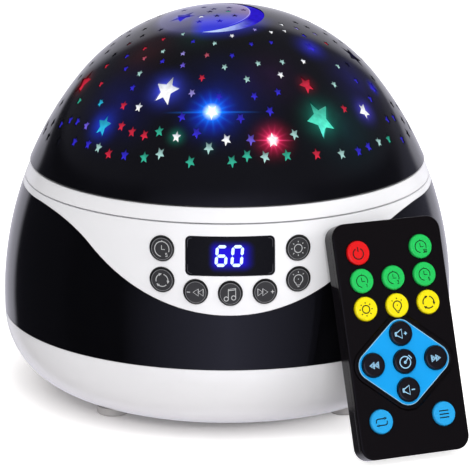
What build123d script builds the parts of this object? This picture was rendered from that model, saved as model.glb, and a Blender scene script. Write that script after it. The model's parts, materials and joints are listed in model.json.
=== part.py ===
from build123d import *
import math
import os

os.makedirs("parts", exist_ok=True)

# Rotating night light projector with its remote control, in millimetres.
# The origin is on the table under the centre of the base, +Z is up, the control panel faces -Y.

# Outer form: a flank arc that is widest at the waist, and a crown arc that meets it in line
body_r = 70.0
waist_z = 28.0
flank_r = 110.0
crown_r = 59.0
foot_h = 1.7
band_low_z = 24.5
band_h = 40.6
rim_h = 1.7
seam_gap = 0.4
ring_h = 4.2
dome_groove = 0.2
dome_proud = 0.4

# Walls
band_t = 1.6
sleeve_t = 2.1
base_t = 2.4
ring_t = 2.0
dome_t = 1.3
liner_t = 0.9

# Clearances
snug_gap = 0.1
seat_gap = 0.05
running_gap = 0.08
thrust_gap = 0.3
panel_line = 0.15
thread_gap = 0.05
screw_pass_gap = 0.25

# Heights that follow from the stack above
band_high_z = band_low_z + band_h
rim_top_z = band_high_z + rim_h
ring_low_z = rim_top_z + seam_gap
ring_high_z = ring_low_z + ring_h
dome_edge_z = ring_high_z + dome_groove
shell_t = band_t + snug_gap + sleeve_t
flank_x = body_r - flank_r
crown_z = waist_z + math.sqrt((flank_r - crown_r) ** 2 - flank_x**2)
meet_angle = math.degrees(math.atan2(crown_z - waist_z, -flank_x))


def flank_radius(z, inset=0.0):
    return flank_x + math.sqrt((flank_r - inset) ** 2 - (z - waist_z) ** 2)


def front_depth(x, z):
    """Distance of the front surface from the axis plane, at x and z."""
    return math.sqrt(flank_radius(z) ** 2 - x**2)


def flank_arc(z_low, z_high, inset):
    """The flank's arc moved inwards by inset, from z_low up to z_high."""
    radius = flank_r - inset
    start = math.degrees(math.asin((z_low - waist_z) / radius))
    stop = math.degrees(math.asin((z_high - waist_z) / radius))
    return CenterArc((flank_x, waist_z), radius, start, stop - start)


def flank_ring(z_low, z_high, outer_inset, inner_inset):
    """A ring of the wall between two insets of the flank."""
    with BuildPart() as ring:
        with BuildSketch(Plane.XZ):
            with BuildLine():
                outside = flank_arc(z_low, z_high, outer_inset)
                inside = flank_arc(z_low, z_high, inner_inset)
                Line(outside @ 0, inside @ 0)
                Line(outside @ 1, inside @ 1)
            make_face()
        revolve(axis=Axis.Z)
    return ring.part


def tube(r_out, r_in, z_low, z_high):
    """A plain ring round the main axis."""
    with BuildPart() as ring:
        with BuildSketch(Plane.XY.offset(z_low)):
            Circle(r_out)
            if r_in > 0:
                Circle(r_in, mode=Mode.SUBTRACT)
        extrude(amount=z_high - z_low)
    return ring.part


# Control panel: a wide arc below, rounded into the lower edge of the rim at both ends
panel_drop = 24.0
panel_arc_r = 59.0
panel_corner_r = 26.0
panel_lap = 0.15
panel_high_z = band_high_z + panel_lap
panel_low_z = band_high_z - panel_drop


def panel_outline(grow):
    """The panel's outline seen from the front, grown outwards by the width of the line round it."""
    with BuildSketch(Plane.XZ) as outline:
        with Locations((0, panel_low_z + panel_arc_r)):
            Circle(panel_arc_r)
        with Locations((0, panel_high_z)):
            Rectangle(4 * body_r, 4 * panel_arc_r, align=(Align.CENTER, Align.MIN))
        corners = outline.vertices().filter_by(lambda v: abs(v.Y - panel_high_z) < 1e-3 and abs(v.X) < body_r)
        fillet(corners, panel_corner_r)
        if grow > 0:
            offset(amount=grow)
    return outline.sketch


# Rear power inlet: a flat socket on a small board
inlet_w = 8.94
inlet_h = 3.26
inlet_len = 9.0
inlet_rim = 0.3
inlet_recess = 1.3
inlet_z = 33.0
inlet_gap = 0.6
inlet_board_t = 1.2


def inlet_opening():
    """The rear opening of the socket, cut out of the sleeve and the band."""
    with BuildPart() as opening:
        with BuildSketch(Plane.XZ.offset(-body_r)):
            with Locations((0, inlet_z)):
                SlotOverall(inlet_w + 2 * inlet_gap, inlet_h + 2 * inlet_gap)
        extrude(amount=3 * shell_t)
    return opening.part


# Base shell: a bowl with screw posts, board posts, a speaker ring, a grille and seats for the feet
bowl_r = band_low_z - foot_h
bowl_x = flank_radius(band_low_z) - bowl_r
floor_z = foot_h + base_t
lip_t = 2.0
lip_h = 3.5
lip_root = 4.5
lip_slope = 1.5
lip_r = flank_radius(band_low_z + lip_h, shell_t) - snug_gap
post_ring_r = 40.0
post_r = 4.0
post_top_z = 10.0
screw_r = 1.4
screw_head_r = 2.8
screw_head_h = 1.8
screw_head_gap = 0.3
screw_sink = 0.4
screw_len = 16.0
foot_ring_r = 50.0
foot_r = 5.0
foot_seat = 0.8
foot_edge = 0.4
foot_angles = (45, 135, 225, 315)
speaker_r = 16.0
speaker_ring_t = 1.2
speaker_ring_h = 4.0
grille_w = 1.8
grille_pitch = 4.4
grille_len = 22.0
grille_slots = 5
board_w = 52.0
board_d = 40.0
board_t = 1.6
board_post_r = 2.2
board_post_inset = 3.5
board_z = 16.0
board_screw_bite = 5.0
hole_end_gap = 1.0
small_screw_r = 0.85
small_head_r = 1.7
small_head_h = 1.3
pedestal_reach = 2.9
pedestal_y = bowl_x + pedestal_reach
pedestal_w = 12.0
pedestal_d = 7.0
pedestal_t = 2.0
pedestal_root = 0.5
pedestal_top_z = inlet_z - inlet_h / 2 - inlet_board_t

head_seat_z = foot_h + screw_head_h + screw_sink
bowl_inner_r = bowl_r - base_t
lip_turn = math.degrees(math.asin(lip_root / bowl_inner_r))
post_places = [(post_ring_r * math.cos(math.radians(a)), post_ring_r * math.sin(math.radians(a)))
               for a in foot_angles]
foot_places = [(foot_ring_r * math.cos(math.radians(a)), foot_ring_r * math.sin(math.radians(a)))
               for a in foot_angles]
board_post_x = board_w / 2 - board_post_inset
board_post_y = board_d / 2 - board_post_inset
board_post_places = [(sx * board_post_x, sy * board_post_y) for sx in (-1, 1) for sy in (-1, 1)]

with BuildPart() as base_shell:
    with BuildSketch(Plane.XZ):
        with BuildLine():
            Line((0, foot_h), (bowl_x, foot_h))
            CenterArc((bowl_x, band_low_z), bowl_r, 270, 90)
            Polyline(
                (bowl_x + bowl_r, band_low_z),
                (lip_r, band_low_z),
                (lip_r, band_low_z + lip_h),
                (lip_r - lip_t, band_low_z + lip_h),
                (lip_r - lip_t, band_low_z - lip_root + lip_slope),
            )
            inside = CenterArc((bowl_x, band_low_z), bowl_inner_r, 270, 90 - lip_turn)
            Line((lip_r - lip_t, band_low_z - lip_root + lip_slope), inside @ 1)
            Polyline(inside @ 0, (0, floor_z), (0, foot_h))
        make_face()
    revolve(axis=Axis.Z)
    with BuildSketch(Plane.XY.offset(floor_z)):
        with Locations(*post_places):
            Circle(post_r)
    extrude(amount=post_top_z - floor_z)
    with BuildSketch(Plane.XY.offset(floor_z)):
        with Locations(*board_post_places):
            Circle(board_post_r)
    extrude(amount=board_z - floor_z)
    with BuildSketch(Plane.XY.offset(floor_z)):
        Circle(speaker_r + snug_gap + speaker_ring_t)
        Circle(speaker_r + snug_gap, mode=Mode.SUBTRACT)
    extrude(amount=speaker_ring_h)
    with BuildSketch(Plane.XY.offset(floor_z + pedestal_root)):
        with Locations((0, pedestal_y)):
            Rectangle(pedestal_w, pedestal_d, align=(Align.CENTER, Align.MIN))
        with Locations((0, pedestal_y + pedestal_t)):
            Rectangle(pedestal_w - 2 * pedestal_t, pedestal_d, align=(Align.CENTER, Align.MIN),
                      mode=Mode.SUBTRACT)
    extrude(amount=pedestal_top_z - floor_z - pedestal_root)
    with BuildSketch(Plane.XY.offset(foot_h)):
        with Locations(*foot_places):
            Circle(foot_r + snug_gap)
    extrude(amount=foot_seat, mode=Mode.SUBTRACT)
    with BuildSketch(Plane.XY.offset(foot_h)):
        with Locations(*post_places):
            Circle(screw_head_r + screw_head_gap)
    extrude(amount=head_seat_z - foot_h, mode=Mode.SUBTRACT)
    with BuildSketch(Plane.XY.offset(foot_h)):
        with Locations(*post_places):
            Circle(screw_r + screw_pass_gap)
    extrude(amount=post_top_z - foot_h, mode=Mode.SUBTRACT)
    with BuildSketch(Plane.XY.offset(board_z)):
        with Locations(*board_post_places):
            Circle(small_screw_r + thread_gap)
    extrude(amount=-board_screw_bite - hole_end_gap, mode=Mode.SUBTRACT)
    with BuildSketch(Plane.XY.offset(foot_h)):
        with GridLocations(0, grille_pitch, 1, grille_slots):
            SlotOverall(grille_len, grille_w)
    extrude(amount=base_t, mode=Mode.SUBTRACT)
base_shell.part.label = "base_shell"
export_step(base_shell.part, "parts/base_shell.step")

with BuildPart() as rubber_feet:
    with BuildSketch():
        with Locations(*foot_places):
            Circle(foot_r)
    extrude(amount=foot_h + foot_seat)
    chamfer(rubber_feet.edges().group_by(Axis.Z)[0], foot_edge)
rubber_feet.part.label = "rubber_feet"
export_step(rubber_feet.part, "parts/rubber_feet.step")

with BuildPart() as base_screws:
    with BuildSketch(Plane.XY.offset(head_seat_z - screw_head_h)):
        with Locations(*post_places):
            Circle(screw_head_r)
    extrude(amount=screw_head_h)
    with BuildSketch(Plane.XY.offset(head_seat_z)):
        with Locations(*post_places):
            Circle(screw_r)
    extrude(amount=screw_len)
base_screws.part.label = "base_screws"
export_step(base_screws.part, "parts/base_screws.step")

with BuildPart() as side_band:
    add(flank_ring(band_low_z + snug_gap, band_high_z - snug_gap, 0, band_t))
    extrude(panel_outline(panel_line), amount=2 * body_r, mode=Mode.SUBTRACT)
    add(inlet_opening(), mode=Mode.SUBTRACT)
side_band.part.label = "side_band"
export_step(side_band.part, "parts/side_band.step")

# Front controls: places are x and the drop below the rim's lower edge
button_r = 3.5
button_gap = 0.15
button_proud = 0.6
button_seat = 3.3
button_flange_r = 4.1
button_flange_t = 0.9
button_stem_r = 1.6
button_edge = 0.45
button_travel = 0.6
button_places = {
    "timer_button": (-19.9, 5.5),
    "rotation_button": (-19.9, 14.3),
    "previous_button": (-10.1, 17.2),
    "music_button": (0.0, 17.5),
    "next_button": (10.1, 17.2),
    "warm_light_button": (19.9, 5.5),
    "colour_button": (19.9, 14.3),
}
window_w = 26.0
window_h = 11.0
window_corner = 1.4
window_drop = 7.1
window_t = 1.4
window_recess = 0.15
window_ledge = 1.0
window_margin = 2.0
window_z = band_high_z - window_drop
window_low_z = window_z - window_h / 2 - window_margin
window_high_z = window_z + window_h / 2 + window_margin
control_setback = 17.2
control_board_w = 53.0
control_board_h = 20.0
control_board_corner = 1.5
control_board_drop = 2.4
control_depth = front_depth(0, band_high_z - button_places["music_button"][1]) - control_setback
control_high_z = band_high_z - control_board_drop
control_low_z = control_high_z - control_board_h
control_z = (control_low_z + control_high_z) / 2
switch_w = 6.0
switch_t = 3.6
plunger_r = 1.6
plunger_h = 0.8


def window_prism(grow, reach_low, reach_high):
    """A rounded rectangle in front of the axis, grown by grow, between two distances from the axis."""
    with BuildPart() as prism:
        with BuildSketch(Plane.XZ.offset(reach_low)):
            with Locations((0, window_z)):
                RectangleRounded(window_w + 2 * grow, window_h + 2 * grow, window_corner + grow)
        extrude(amount=reach_high - reach_low)
    return prism.part


# Upper shell: sleeve, rim, panel, deck with the turntable's collar, screw pillars and board ribs
deck_drop = 1.2
deck_t = 1.6
deck_top_z = rim_top_z - deck_drop
deck_low_z = deck_top_z - deck_t
collar_r = 26.5
collar_t = 2.0
pillar_r = 3.6
rib_w = 4.0
rib_t = 3.0
rib_x = 24.8
rib_screw_bite = 2.5
rib_screws = [(-rib_x, control_z), (rib_x, control_z)]

# Drive: a small pinion turns the toothed hub under the turntable
gear_module = 1.2
hub_teeth = 60
pinion_teeth = 12
pressure_angle = 20.0
tooth_backlash = 0.12
drive_centre = gear_module * (hub_teeth + pinion_teeth) / 2
gear_h = 3.4
gear_low_z = deck_top_z + thrust_gap
disc_t = 1.6
disc_low_z = gear_low_z + gear_h + thrust_gap
disc_top_z = disc_low_z + disc_t
collar_top_z = disc_top_z + thrust_gap
motor_r = 12.0
motor_h = 14.0
motor_ear_t = 1.2
motor_ear_w = 8.0
motor_boss_x = 16.0
motor_boss_r = 3.0
motor_boss_h = 3.0
motor_screws_xy = [(-motor_boss_x, drive_centre), (motor_boss_x, drive_centre)]
shaft_r = 1.5
shaft_root = 3.0
shaft_hole_r = 4.0
motor_neck_r = 3.5

with BuildPart() as band_space:
    add(flank_ring(band_low_z, band_high_z, -1, band_t + snug_gap))
    extrude(panel_outline(0), amount=2 * body_r, mode=Mode.SUBTRACT)

with BuildPart() as window_seat:
    add(flank_ring(window_low_z, window_high_z, -1, window_recess + window_t + seat_gap))
    add(window_prism(snug_gap, 0, 2 * body_r), mode=Mode.INTERSECT)

deck_r = flank_radius(deck_top_z, shell_t / 2)
with BuildPart() as upper_shell:
    add(flank_ring(band_low_z + snug_gap, rim_top_z, 0, shell_t))
    add(band_space.part, mode=Mode.SUBTRACT)
    add(tube(deck_r, collar_r - collar_t, deck_low_z, deck_top_z))
    add(tube(collar_r, collar_r - collar_t, deck_low_z, collar_top_z))
    with BuildSketch(Plane.XY.offset(post_top_z)):
        with Locations(*post_places):
            Circle(pillar_r)
    extrude(amount=deck_low_z - post_top_z)
    with BuildSketch(Plane.XY.offset(control_low_z)):
        with Locations((-rib_x, -control_depth + board_t), (rib_x, -control_depth + board_t)):
            Rectangle(rib_w, rib_t, align=(Align.CENTER, Align.MIN))
    extrude(amount=deck_low_z - control_low_z)
    with BuildSketch(Plane.XY.offset(deck_low_z)):
        with Locations(*motor_screws_xy):
            Circle(motor_boss_r)
    extrude(amount=-motor_boss_h)
    with BuildSketch(Plane.XY.offset(post_top_z)):
        with Locations(*post_places):
            Circle(screw_r + thread_gap)
    extrude(amount=screw_len, mode=Mode.SUBTRACT)
    with BuildSketch(Plane.XY.offset(deck_top_z)):
        with Locations((0, drive_centre)):
            Circle(shaft_hole_r)
    extrude(amount=-deck_t, mode=Mode.SUBTRACT)
    with BuildSketch(Plane.XY.offset(deck_low_z - motor_boss_h)):
        with Locations(*motor_screws_xy):
            Circle(small_screw_r + thread_gap)
    extrude(amount=motor_boss_h + deck_t / 2, mode=Mode.SUBTRACT)
    with BuildSketch(Plane.XZ.offset(control_depth - board_t - rib_t)):
        with Locations(*rib_screws):
            Circle(small_screw_r + thread_gap)
    extrude(amount=rib_t, mode=Mode.SUBTRACT)
    add(window_seat.part, mode=Mode.SUBTRACT)
    add(window_prism(-window_ledge, control_depth, 2 * body_r), mode=Mode.SUBTRACT)
    for x, drop in button_places.values():
        z = band_high_z - drop
        seat = front_depth(x, z) - button_seat
        with BuildSketch(Plane.XZ.offset(control_depth)):
            with Locations((x, z)):
                Circle(button_r + button_gap)
        extrude(amount=body_r, mode=Mode.SUBTRACT)
        with BuildSketch(Plane.XZ.offset(seat)):
            with Locations((x, z)):
                Circle(button_flange_r + button_gap)
        extrude(amount=control_depth - seat, mode=Mode.SUBTRACT)
    add(inlet_opening(), mode=Mode.SUBTRACT)
upper_shell.part.label = "upper_shell"
export_step(upper_shell.part, "parts/upper_shell.step")

with BuildPart() as display_window:
    add(flank_ring(window_low_z, window_high_z, window_recess, window_recess + window_t))
    add(window_prism(0, 0, 2 * body_r), mode=Mode.INTERSECT)
display_window.part.label = "display_window"
export_step(display_window.part, "parts/display_window.step")

# Each button is a cap that follows the panel, with a flange behind it and a stem towards its switch
with BuildPart() as proud_barrel:
    with BuildSketch(Plane.XZ):
        with BuildLine():
            proud_edge = flank_arc(band_low_z, dome_edge_z, -button_proud)
            Polyline(proud_edge @ 1, (0, dome_edge_z), (0, band_low_z), proud_edge @ 0)
        make_face()
    revolve(axis=Axis.Z)

stem_end = control_depth + switch_t + plunger_h + button_travel + snug_gap
for name, (x, drop) in button_places.items():
    z = band_high_z - drop
    seat = front_depth(x, z) - button_seat
    flange_front = seat - seat_gap
    with BuildPart() as button:
        with BuildSketch(Plane.XZ.offset(stem_end)):
            with Locations((x, z)):
                Circle(button_stem_r)
        extrude(amount=flange_front - stem_end)
        with BuildSketch(Plane.XZ.offset(flange_front - button_flange_t)):
            with Locations((x, z)):
                Circle(button_flange_r)
        extrude(amount=button_flange_t)
        with BuildSketch(Plane.XZ.offset(flange_front)):
            with Locations((x, z)):
                Circle(button_r)
        extrude(amount=button_seat + 2 * button_r)
        add(proud_barrel.part, mode=Mode.INTERSECT)
        fillet(button.faces().sort_by(Axis.Y)[0].edges(), button_edge)
    button.part.label = name
    export_step(button.part, f"parts/{name}.step")

with BuildPart() as control_board:
    with BuildSketch(Plane.XZ.offset(control_depth - board_t)):
        with Locations((0, control_z)):
            RectangleRounded(control_board_w, control_board_h, control_board_corner)
        with Locations(*rib_screws):
            Circle(small_screw_r + screw_pass_gap, mode=Mode.SUBTRACT)
    extrude(amount=board_t)
control_board.part.label = "control_board"
export_step(control_board.part, "parts/control_board.step")

with BuildPart() as tact_switches:
    for x, drop in button_places.values():
        z = band_high_z - drop
        with BuildSketch(Plane.XZ.offset(control_depth)):
            with Locations((x, z)):
                Rectangle(switch_w, switch_w)
        extrude(amount=switch_t)
        with BuildSketch(Plane.XZ.offset(control_depth + switch_t)):
            with Locations((x, z)):
                Circle(plunger_r)
        extrude(amount=plunger_h)
tact_switches.part.label = "tact_switches"
export_step(tact_switches.part, "parts/tact_switches.step")

display_side_gap = 0.6
display_top_gap = 0.3
display_setback = shell_t + 0.9
with BuildPart() as display_module:
    with BuildSketch(Plane.XZ.offset(control_depth)):
        with Locations((0, window_z)):
            Rectangle(window_w - 2 * window_ledge - 2 * display_side_gap,
                      window_h - 2 * window_ledge - 2 * display_top_gap)
    extrude(amount=front_depth(0, window_z) - display_setback - control_depth)
display_module.part.label = "display_module"
export_step(display_module.part, "parts/display_module.step")

# Electronics in the base
speaker_frame_h = 3.0
speaker_edge_w = 1.0
speaker_surround_w = 2.5
speaker_magnet_r = 9.0
speaker_neck_r = 4.0
speaker_h = 10.0
with BuildPart() as speaker:
    with BuildSketch(Plane.XZ):
        with BuildLine():
            Polyline(
                (0, floor_z + speaker_h),
                (speaker_magnet_r, floor_z + speaker_h),
                (speaker_magnet_r, floor_z + speaker_h / 2),
                (speaker_r - speaker_edge_w, floor_z + speaker_frame_h),
                (speaker_r, floor_z + speaker_frame_h),
                (speaker_r, floor_z),
                (speaker_r - speaker_surround_w, floor_z),
                (speaker_neck_r, floor_z + speaker_frame_h),
                (0, floor_z + speaker_frame_h),
                (0, floor_z + speaker_h),
            )
        make_face()
    revolve(axis=Axis.Z)
speaker.part.label = "speaker"
export_step(speaker.part, "parts/speaker.step")

# What stands on the main board: chips and connectors by place and size, round capacitors by place
board_corner = 2.0
board_top_z = board_z + board_t
chips = [(-8, 2, 12, 12), (10, -8, 8, 6), (-8, 14, 9, 5), (4, 14, 9, 5)]
chip_h = 2.2
capacitors = [(14, 8), (6, 4)]
capacitor_r = 3.0
capacitor_h = 8.0
with BuildPart() as main_board:
    with BuildSketch(Plane.XY.offset(board_z)):
        RectangleRounded(board_w, board_d, board_corner)
        with Locations(*board_post_places):
            Circle(small_screw_r + screw_pass_gap, mode=Mode.SUBTRACT)
    extrude(amount=board_t)
    with BuildSketch(Plane.XY.offset(board_top_z)):
        for x, y, width, depth in chips:
            with Locations((x, y)):
                Rectangle(width, depth)
    extrude(amount=chip_h)
    with BuildSketch(Plane.XY.offset(board_top_z)):
        with Locations(*capacitors):
            Circle(capacitor_r)
    extrude(amount=capacitor_h)
main_board.part.label = "main_board"
export_step(main_board.part, "parts/main_board.step")

with BuildPart() as board_screws:
    with BuildSketch(Plane.XY.offset(board_top_z)):
        with Locations(*board_post_places):
            Circle(small_head_r)
    extrude(amount=small_head_h)
    with BuildSketch(Plane.XY.offset(board_top_z)):
        with Locations(*board_post_places):
            Circle(small_screw_r)
    extrude(amount=-board_t - board_screw_bite)
    with BuildSketch(Plane.XZ.offset(control_depth)):
        with Locations(*rib_screws):
            Circle(small_head_r)
    extrude(amount=small_head_h)
    with BuildSketch(Plane.XZ.offset(control_depth)):
        with Locations(*rib_screws):
            Circle(small_screw_r)
    extrude(amount=-board_t - rib_screw_bite)
board_screws.part.label = "board_screws"
export_step(board_screws.part, "parts/board_screws.step")

inlet_mouth = flank_radius(inlet_z) - inlet_recess
inlet_board_setback = 4.0
inlet_back_t = 2.0
tongue_setback = 1.0
tongue_t = 0.7
tongue_side_gap = 1.1
with BuildPart() as inlet_board:
    with BuildSketch(Plane.XY.offset(pedestal_top_z)):
        with Locations((0, pedestal_y)):
            Rectangle(pedestal_w, inlet_mouth - inlet_board_setback - pedestal_y,
                      align=(Align.CENTER, Align.MIN))
    extrude(amount=inlet_board_t)
inlet_board.part.label = "inlet_board"
export_step(inlet_board.part, "parts/inlet_board.step")

with BuildPart() as power_inlet:
    with BuildSketch(Plane.XZ.offset(-inlet_mouth)):
        with Locations((0, inlet_z)):
            SlotOverall(inlet_w, inlet_h)
    extrude(amount=inlet_len)
    with BuildSketch(Plane.XZ.offset(-inlet_mouth)):
        with Locations((0, inlet_z)):
            SlotOverall(inlet_w - 2 * inlet_rim, inlet_h - 2 * inlet_rim)
    extrude(amount=inlet_len - inlet_back_t, mode=Mode.SUBTRACT)
    with BuildSketch(Plane.XZ.offset(-inlet_mouth + tongue_setback)):
        with Locations((0, inlet_z)):
            Rectangle(inlet_w - 2 * tongue_side_gap, tongue_t)
    extrude(amount=inlet_len - inlet_back_t)
power_inlet.part.label = "power_inlet"
export_step(power_inlet.part, "parts/power_inlet.step")


# Gear teeth: involute flanks through three radii
def involute(angle):
    return math.tan(angle) - angle


def tooth_outline(teeth, addendum, dedendum, turn):
    """Corners of a gear outline, tooth by tooth, the first tooth centred on the angle turn."""
    pitch_r = gear_module * teeth / 2
    base_r = pitch_r * math.cos(math.radians(pressure_angle))
    at_pitch = math.pi / (2 * teeth) - tooth_backlash / (2 * pitch_r)
    half = []
    for r in (pitch_r - dedendum, pitch_r, pitch_r + addendum):
        lean = math.acos(min(1.0, base_r / r))
        half.append((r, at_pitch + involute(math.radians(pressure_angle)) - involute(lean)))
    corners = []
    for tooth in range(teeth):
        centre = math.radians(turn) + tooth * 2 * math.pi / teeth
        sides = [(r, centre - a) for r, a in half] + [(r, centre + a) for r, a in reversed(half)]
        corners += [(r * math.cos(a), r * math.sin(a)) for r, a in sides]
    return corners


hub_addendum = 0.75 * gear_module
pinion_addendum = gear_module
dedendum = 1.2 * gear_module
hub_bore_r = collar_r + running_gap
disc_r = flank_radius(ring_high_z, ring_t) - snug_gap
with BuildPart() as turntable:
    with BuildSketch(Plane.XY.offset(gear_low_z)):
        with BuildLine():
            Polyline(*tooth_outline(hub_teeth, hub_addendum, dedendum, 90), close=True)
        make_face()
        Circle(hub_bore_r, mode=Mode.SUBTRACT)
    extrude(amount=disc_low_z - gear_low_z)
    add(tube(disc_r, hub_bore_r, disc_low_z, disc_top_z))
turntable.part.label = "turntable"
export_step(turntable.part, "parts/turntable.step")

ledge_t = 1.2
ledge_w = 4.0
ring_inner_r = disc_r + snug_gap
with BuildPart() as dome_ring:
    with BuildSketch(Plane.XZ):
        with BuildLine():
            skin = flank_arc(ring_low_z, ring_high_z, 0)
            Polyline(
                skin @ 1,
                (ring_inner_r, ring_high_z),
                (ring_inner_r, disc_low_z),
                (ring_inner_r - ledge_w, disc_low_z),
                (ring_inner_r - ledge_w, disc_low_z - ledge_t),
                (ring_inner_r, disc_low_z - ledge_t),
                (ring_inner_r, ring_low_z),
                skin @ 0,
            )
        make_face()
    revolve(axis=Axis.Z)
dome_ring.part.label = "dome_ring"
export_step(dome_ring.part, "parts/dome_ring.step")

motor_top_z = deck_low_z - motor_boss_h
neck_top_z = deck_low_z
shaft_low_z = motor_top_z - shaft_root
with BuildPart() as drive_motor:
    with BuildSketch(Plane.XY.offset(motor_top_z - motor_ear_t)):
        with Locations((0, drive_centre)):
            SlotCenterToCenter(2 * motor_boss_x, motor_ear_w)
            with Locations((-motor_boss_x, 0), (motor_boss_x, 0)):
                Circle(small_screw_r + screw_pass_gap, mode=Mode.SUBTRACT)
    extrude(amount=motor_ear_t)
    with BuildSketch(Plane.XY.offset(motor_top_z)):
        with Locations((0, drive_centre)):
            Circle(motor_r)
    extrude(amount=-motor_h)
    with BuildSketch(Plane.XY.offset(motor_top_z)):
        with Locations((0, drive_centre)):
            Circle(motor_neck_r)
    extrude(amount=neck_top_z - motor_top_z)
    with BuildSketch(Plane.XY.offset(neck_top_z)):
        with Locations((0, drive_centre)):
            Circle(shaft_r + running_gap)
    extrude(amount=shaft_low_z - thrust_gap - neck_top_z, mode=Mode.SUBTRACT)
drive_motor.part.label = "drive_motor"
export_step(drive_motor.part, "parts/drive_motor.step")

with BuildPart() as motor_screws:
    with BuildSketch(Plane.XY.offset(motor_top_z - motor_ear_t)):
        with Locations(*motor_screws_xy):
            Circle(small_head_r)
    extrude(amount=-small_head_h)
    with BuildSketch(Plane.XY.offset(motor_top_z - motor_ear_t)):
        with Locations(*motor_screws_xy):
            Circle(small_screw_r)
    extrude(amount=motor_ear_t + motor_boss_h)
motor_screws.part.label = "motor_screws"
export_step(motor_screws.part, "parts/motor_screws.step")

with BuildPart() as motor_shaft:
    with BuildSketch(Plane.XY.offset(shaft_low_z)):
        with Locations((0, drive_centre)):
            Circle(shaft_r)
    extrude(amount=gear_low_z + gear_h - shaft_low_z)
motor_shaft.part.label = "motor_shaft"
export_step(motor_shaft.part, "parts/motor_shaft.step")

with BuildPart() as drive_pinion:
    with BuildSketch(Plane.XY.offset(gear_low_z)):
        with BuildLine():
            Polyline(*[(x, y + drive_centre) for x, y in tooth_outline(
                pinion_teeth, pinion_addendum, dedendum, 180 / pinion_teeth)], close=True)
        make_face()
        with Locations((0, drive_centre)):
            Circle(shaft_r, mode=Mode.SUBTRACT)
    extrude(amount=gear_h)
drive_pinion.part.label = "drive_pinion"
export_step(drive_pinion.part, "parts/drive_pinion.step")

# Lamp: a white dish over the turntable, a post and a round board with its lights
dish_r = 53.0
dish_t = 1.5
dish_rim_h = 3.0
dish_rim_w = 4.0
dish_lip_t = 0.6
spigot_h = 3.5
spigot_t = 1.9
post_bore_r = 3.0
lamp_foot_r = 16.0
lamp_foot_t = 1.6
lamp_post_r = 9.5
lamp_post_h = 8.0
lamp_flare = 2.0
led_board_r = 11.0
led_board_t = 1.2
led_w = 5.0
led_h = 1.6
led_ring_r = 6.6
warm_led_r = 2.2
warm_led_edge = 1.0
spigot_r = collar_r - collar_t - snug_gap
dish_top_z = collar_top_z + dish_t
with BuildPart() as reflector_dish:
    with BuildSketch(Plane.XZ):
        with BuildLine():
            Polyline(
                (lamp_post_r, collar_top_z),
                (spigot_r - spigot_t, collar_top_z),
                (spigot_r - spigot_t, collar_top_z - spigot_h),
                (spigot_r, collar_top_z - spigot_h),
                (spigot_r, collar_top_z),
                (dish_r - dish_rim_w, collar_top_z),
                (dish_r, collar_top_z + dish_rim_h),
                (dish_r - dish_lip_t, collar_top_z + dish_rim_h + dish_lip_t),
                (dish_r - dish_rim_w - dish_lip_t, dish_top_z),
                (lamp_post_r, dish_top_z),
                (lamp_post_r, collar_top_z),
            )
        make_face()
    revolve(axis=Axis.Z)
reflector_dish.part.label = "reflector_dish"
export_step(reflector_dish.part, "parts/reflector_dish.step")

lamp_top_z = dish_top_z + lamp_foot_t + lamp_post_h
with BuildPart() as lamp_post:
    with BuildSketch(Plane.XZ):
        with BuildLine():
            Polyline(
                (post_bore_r, dish_top_z),
                (lamp_foot_r, dish_top_z),
                (lamp_foot_r, dish_top_z + lamp_foot_t),
                (lamp_post_r + lamp_flare, dish_top_z + lamp_foot_t),
                (lamp_post_r, lamp_top_z),
                (post_bore_r, lamp_top_z),
                (post_bore_r, dish_top_z),
            )
        make_face()
    revolve(axis=Axis.Z)
lamp_post.part.label = "lamp_post"
export_step(lamp_post.part, "parts/lamp_post.step")

with BuildPart() as led_board:
    with BuildSketch(Plane.XY.offset(lamp_top_z)):
        Circle(led_board_r)
    extrude(amount=led_board_t)
led_board.part.label = "led_board"
export_step(led_board.part, "parts/led_board.step")

led_z = lamp_top_z + led_board_t
with BuildPart() as colour_leds:
    with BuildSketch(Plane.XY.offset(led_z)):
        with PolarLocations(led_ring_r, 4):
            Rectangle(led_w, led_w)
    extrude(amount=led_h)
colour_leds.part.label = "colour_leds"
export_step(colour_leds.part, "parts/colour_leds.step")

with BuildPart() as warm_led:
    with BuildSketch(Plane.XY.offset(led_z)):
        Circle(warm_led_r)
    extrude(amount=led_h)
    fillet(warm_led.edges().group_by(Axis.Z)[-1], warm_led_edge)
warm_led.part.label = "warm_led"
export_step(warm_led.part, "parts/warm_led.step")

# Star dome: a dark shell with a crescent and stars cut through it, over a translucent lining
skirt_t = 1.4
skirt_drop = 0.4
skirt_h = 3.6
edge_round = 0.6
skirt_r = ring_inner_r - snug_gap
skirt_top_z = dome_edge_z + skirt_h - skirt_drop
liner_gap = 0.15
liner_low_z = skirt_top_z + seat_gap
star_waist = 0.46
star_spacing = 0.5
moon_star_r = 1.15
dome_inset = dome_t - dome_proud
liner_inset = dome_inset + liner_gap


def dome_arcs(z_low, inset):
    """Flank and crown arcs moved inwards by inset, from z_low to the top."""
    start = math.degrees(math.asin((z_low - waist_z) / (flank_r - inset)))
    lower = CenterArc((flank_x, waist_z), flank_r - inset, start, meet_angle - start)
    upper = CenterArc((0, crown_z), crown_r - inset, meet_angle, 90 - meet_angle)
    return lower, upper


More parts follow.
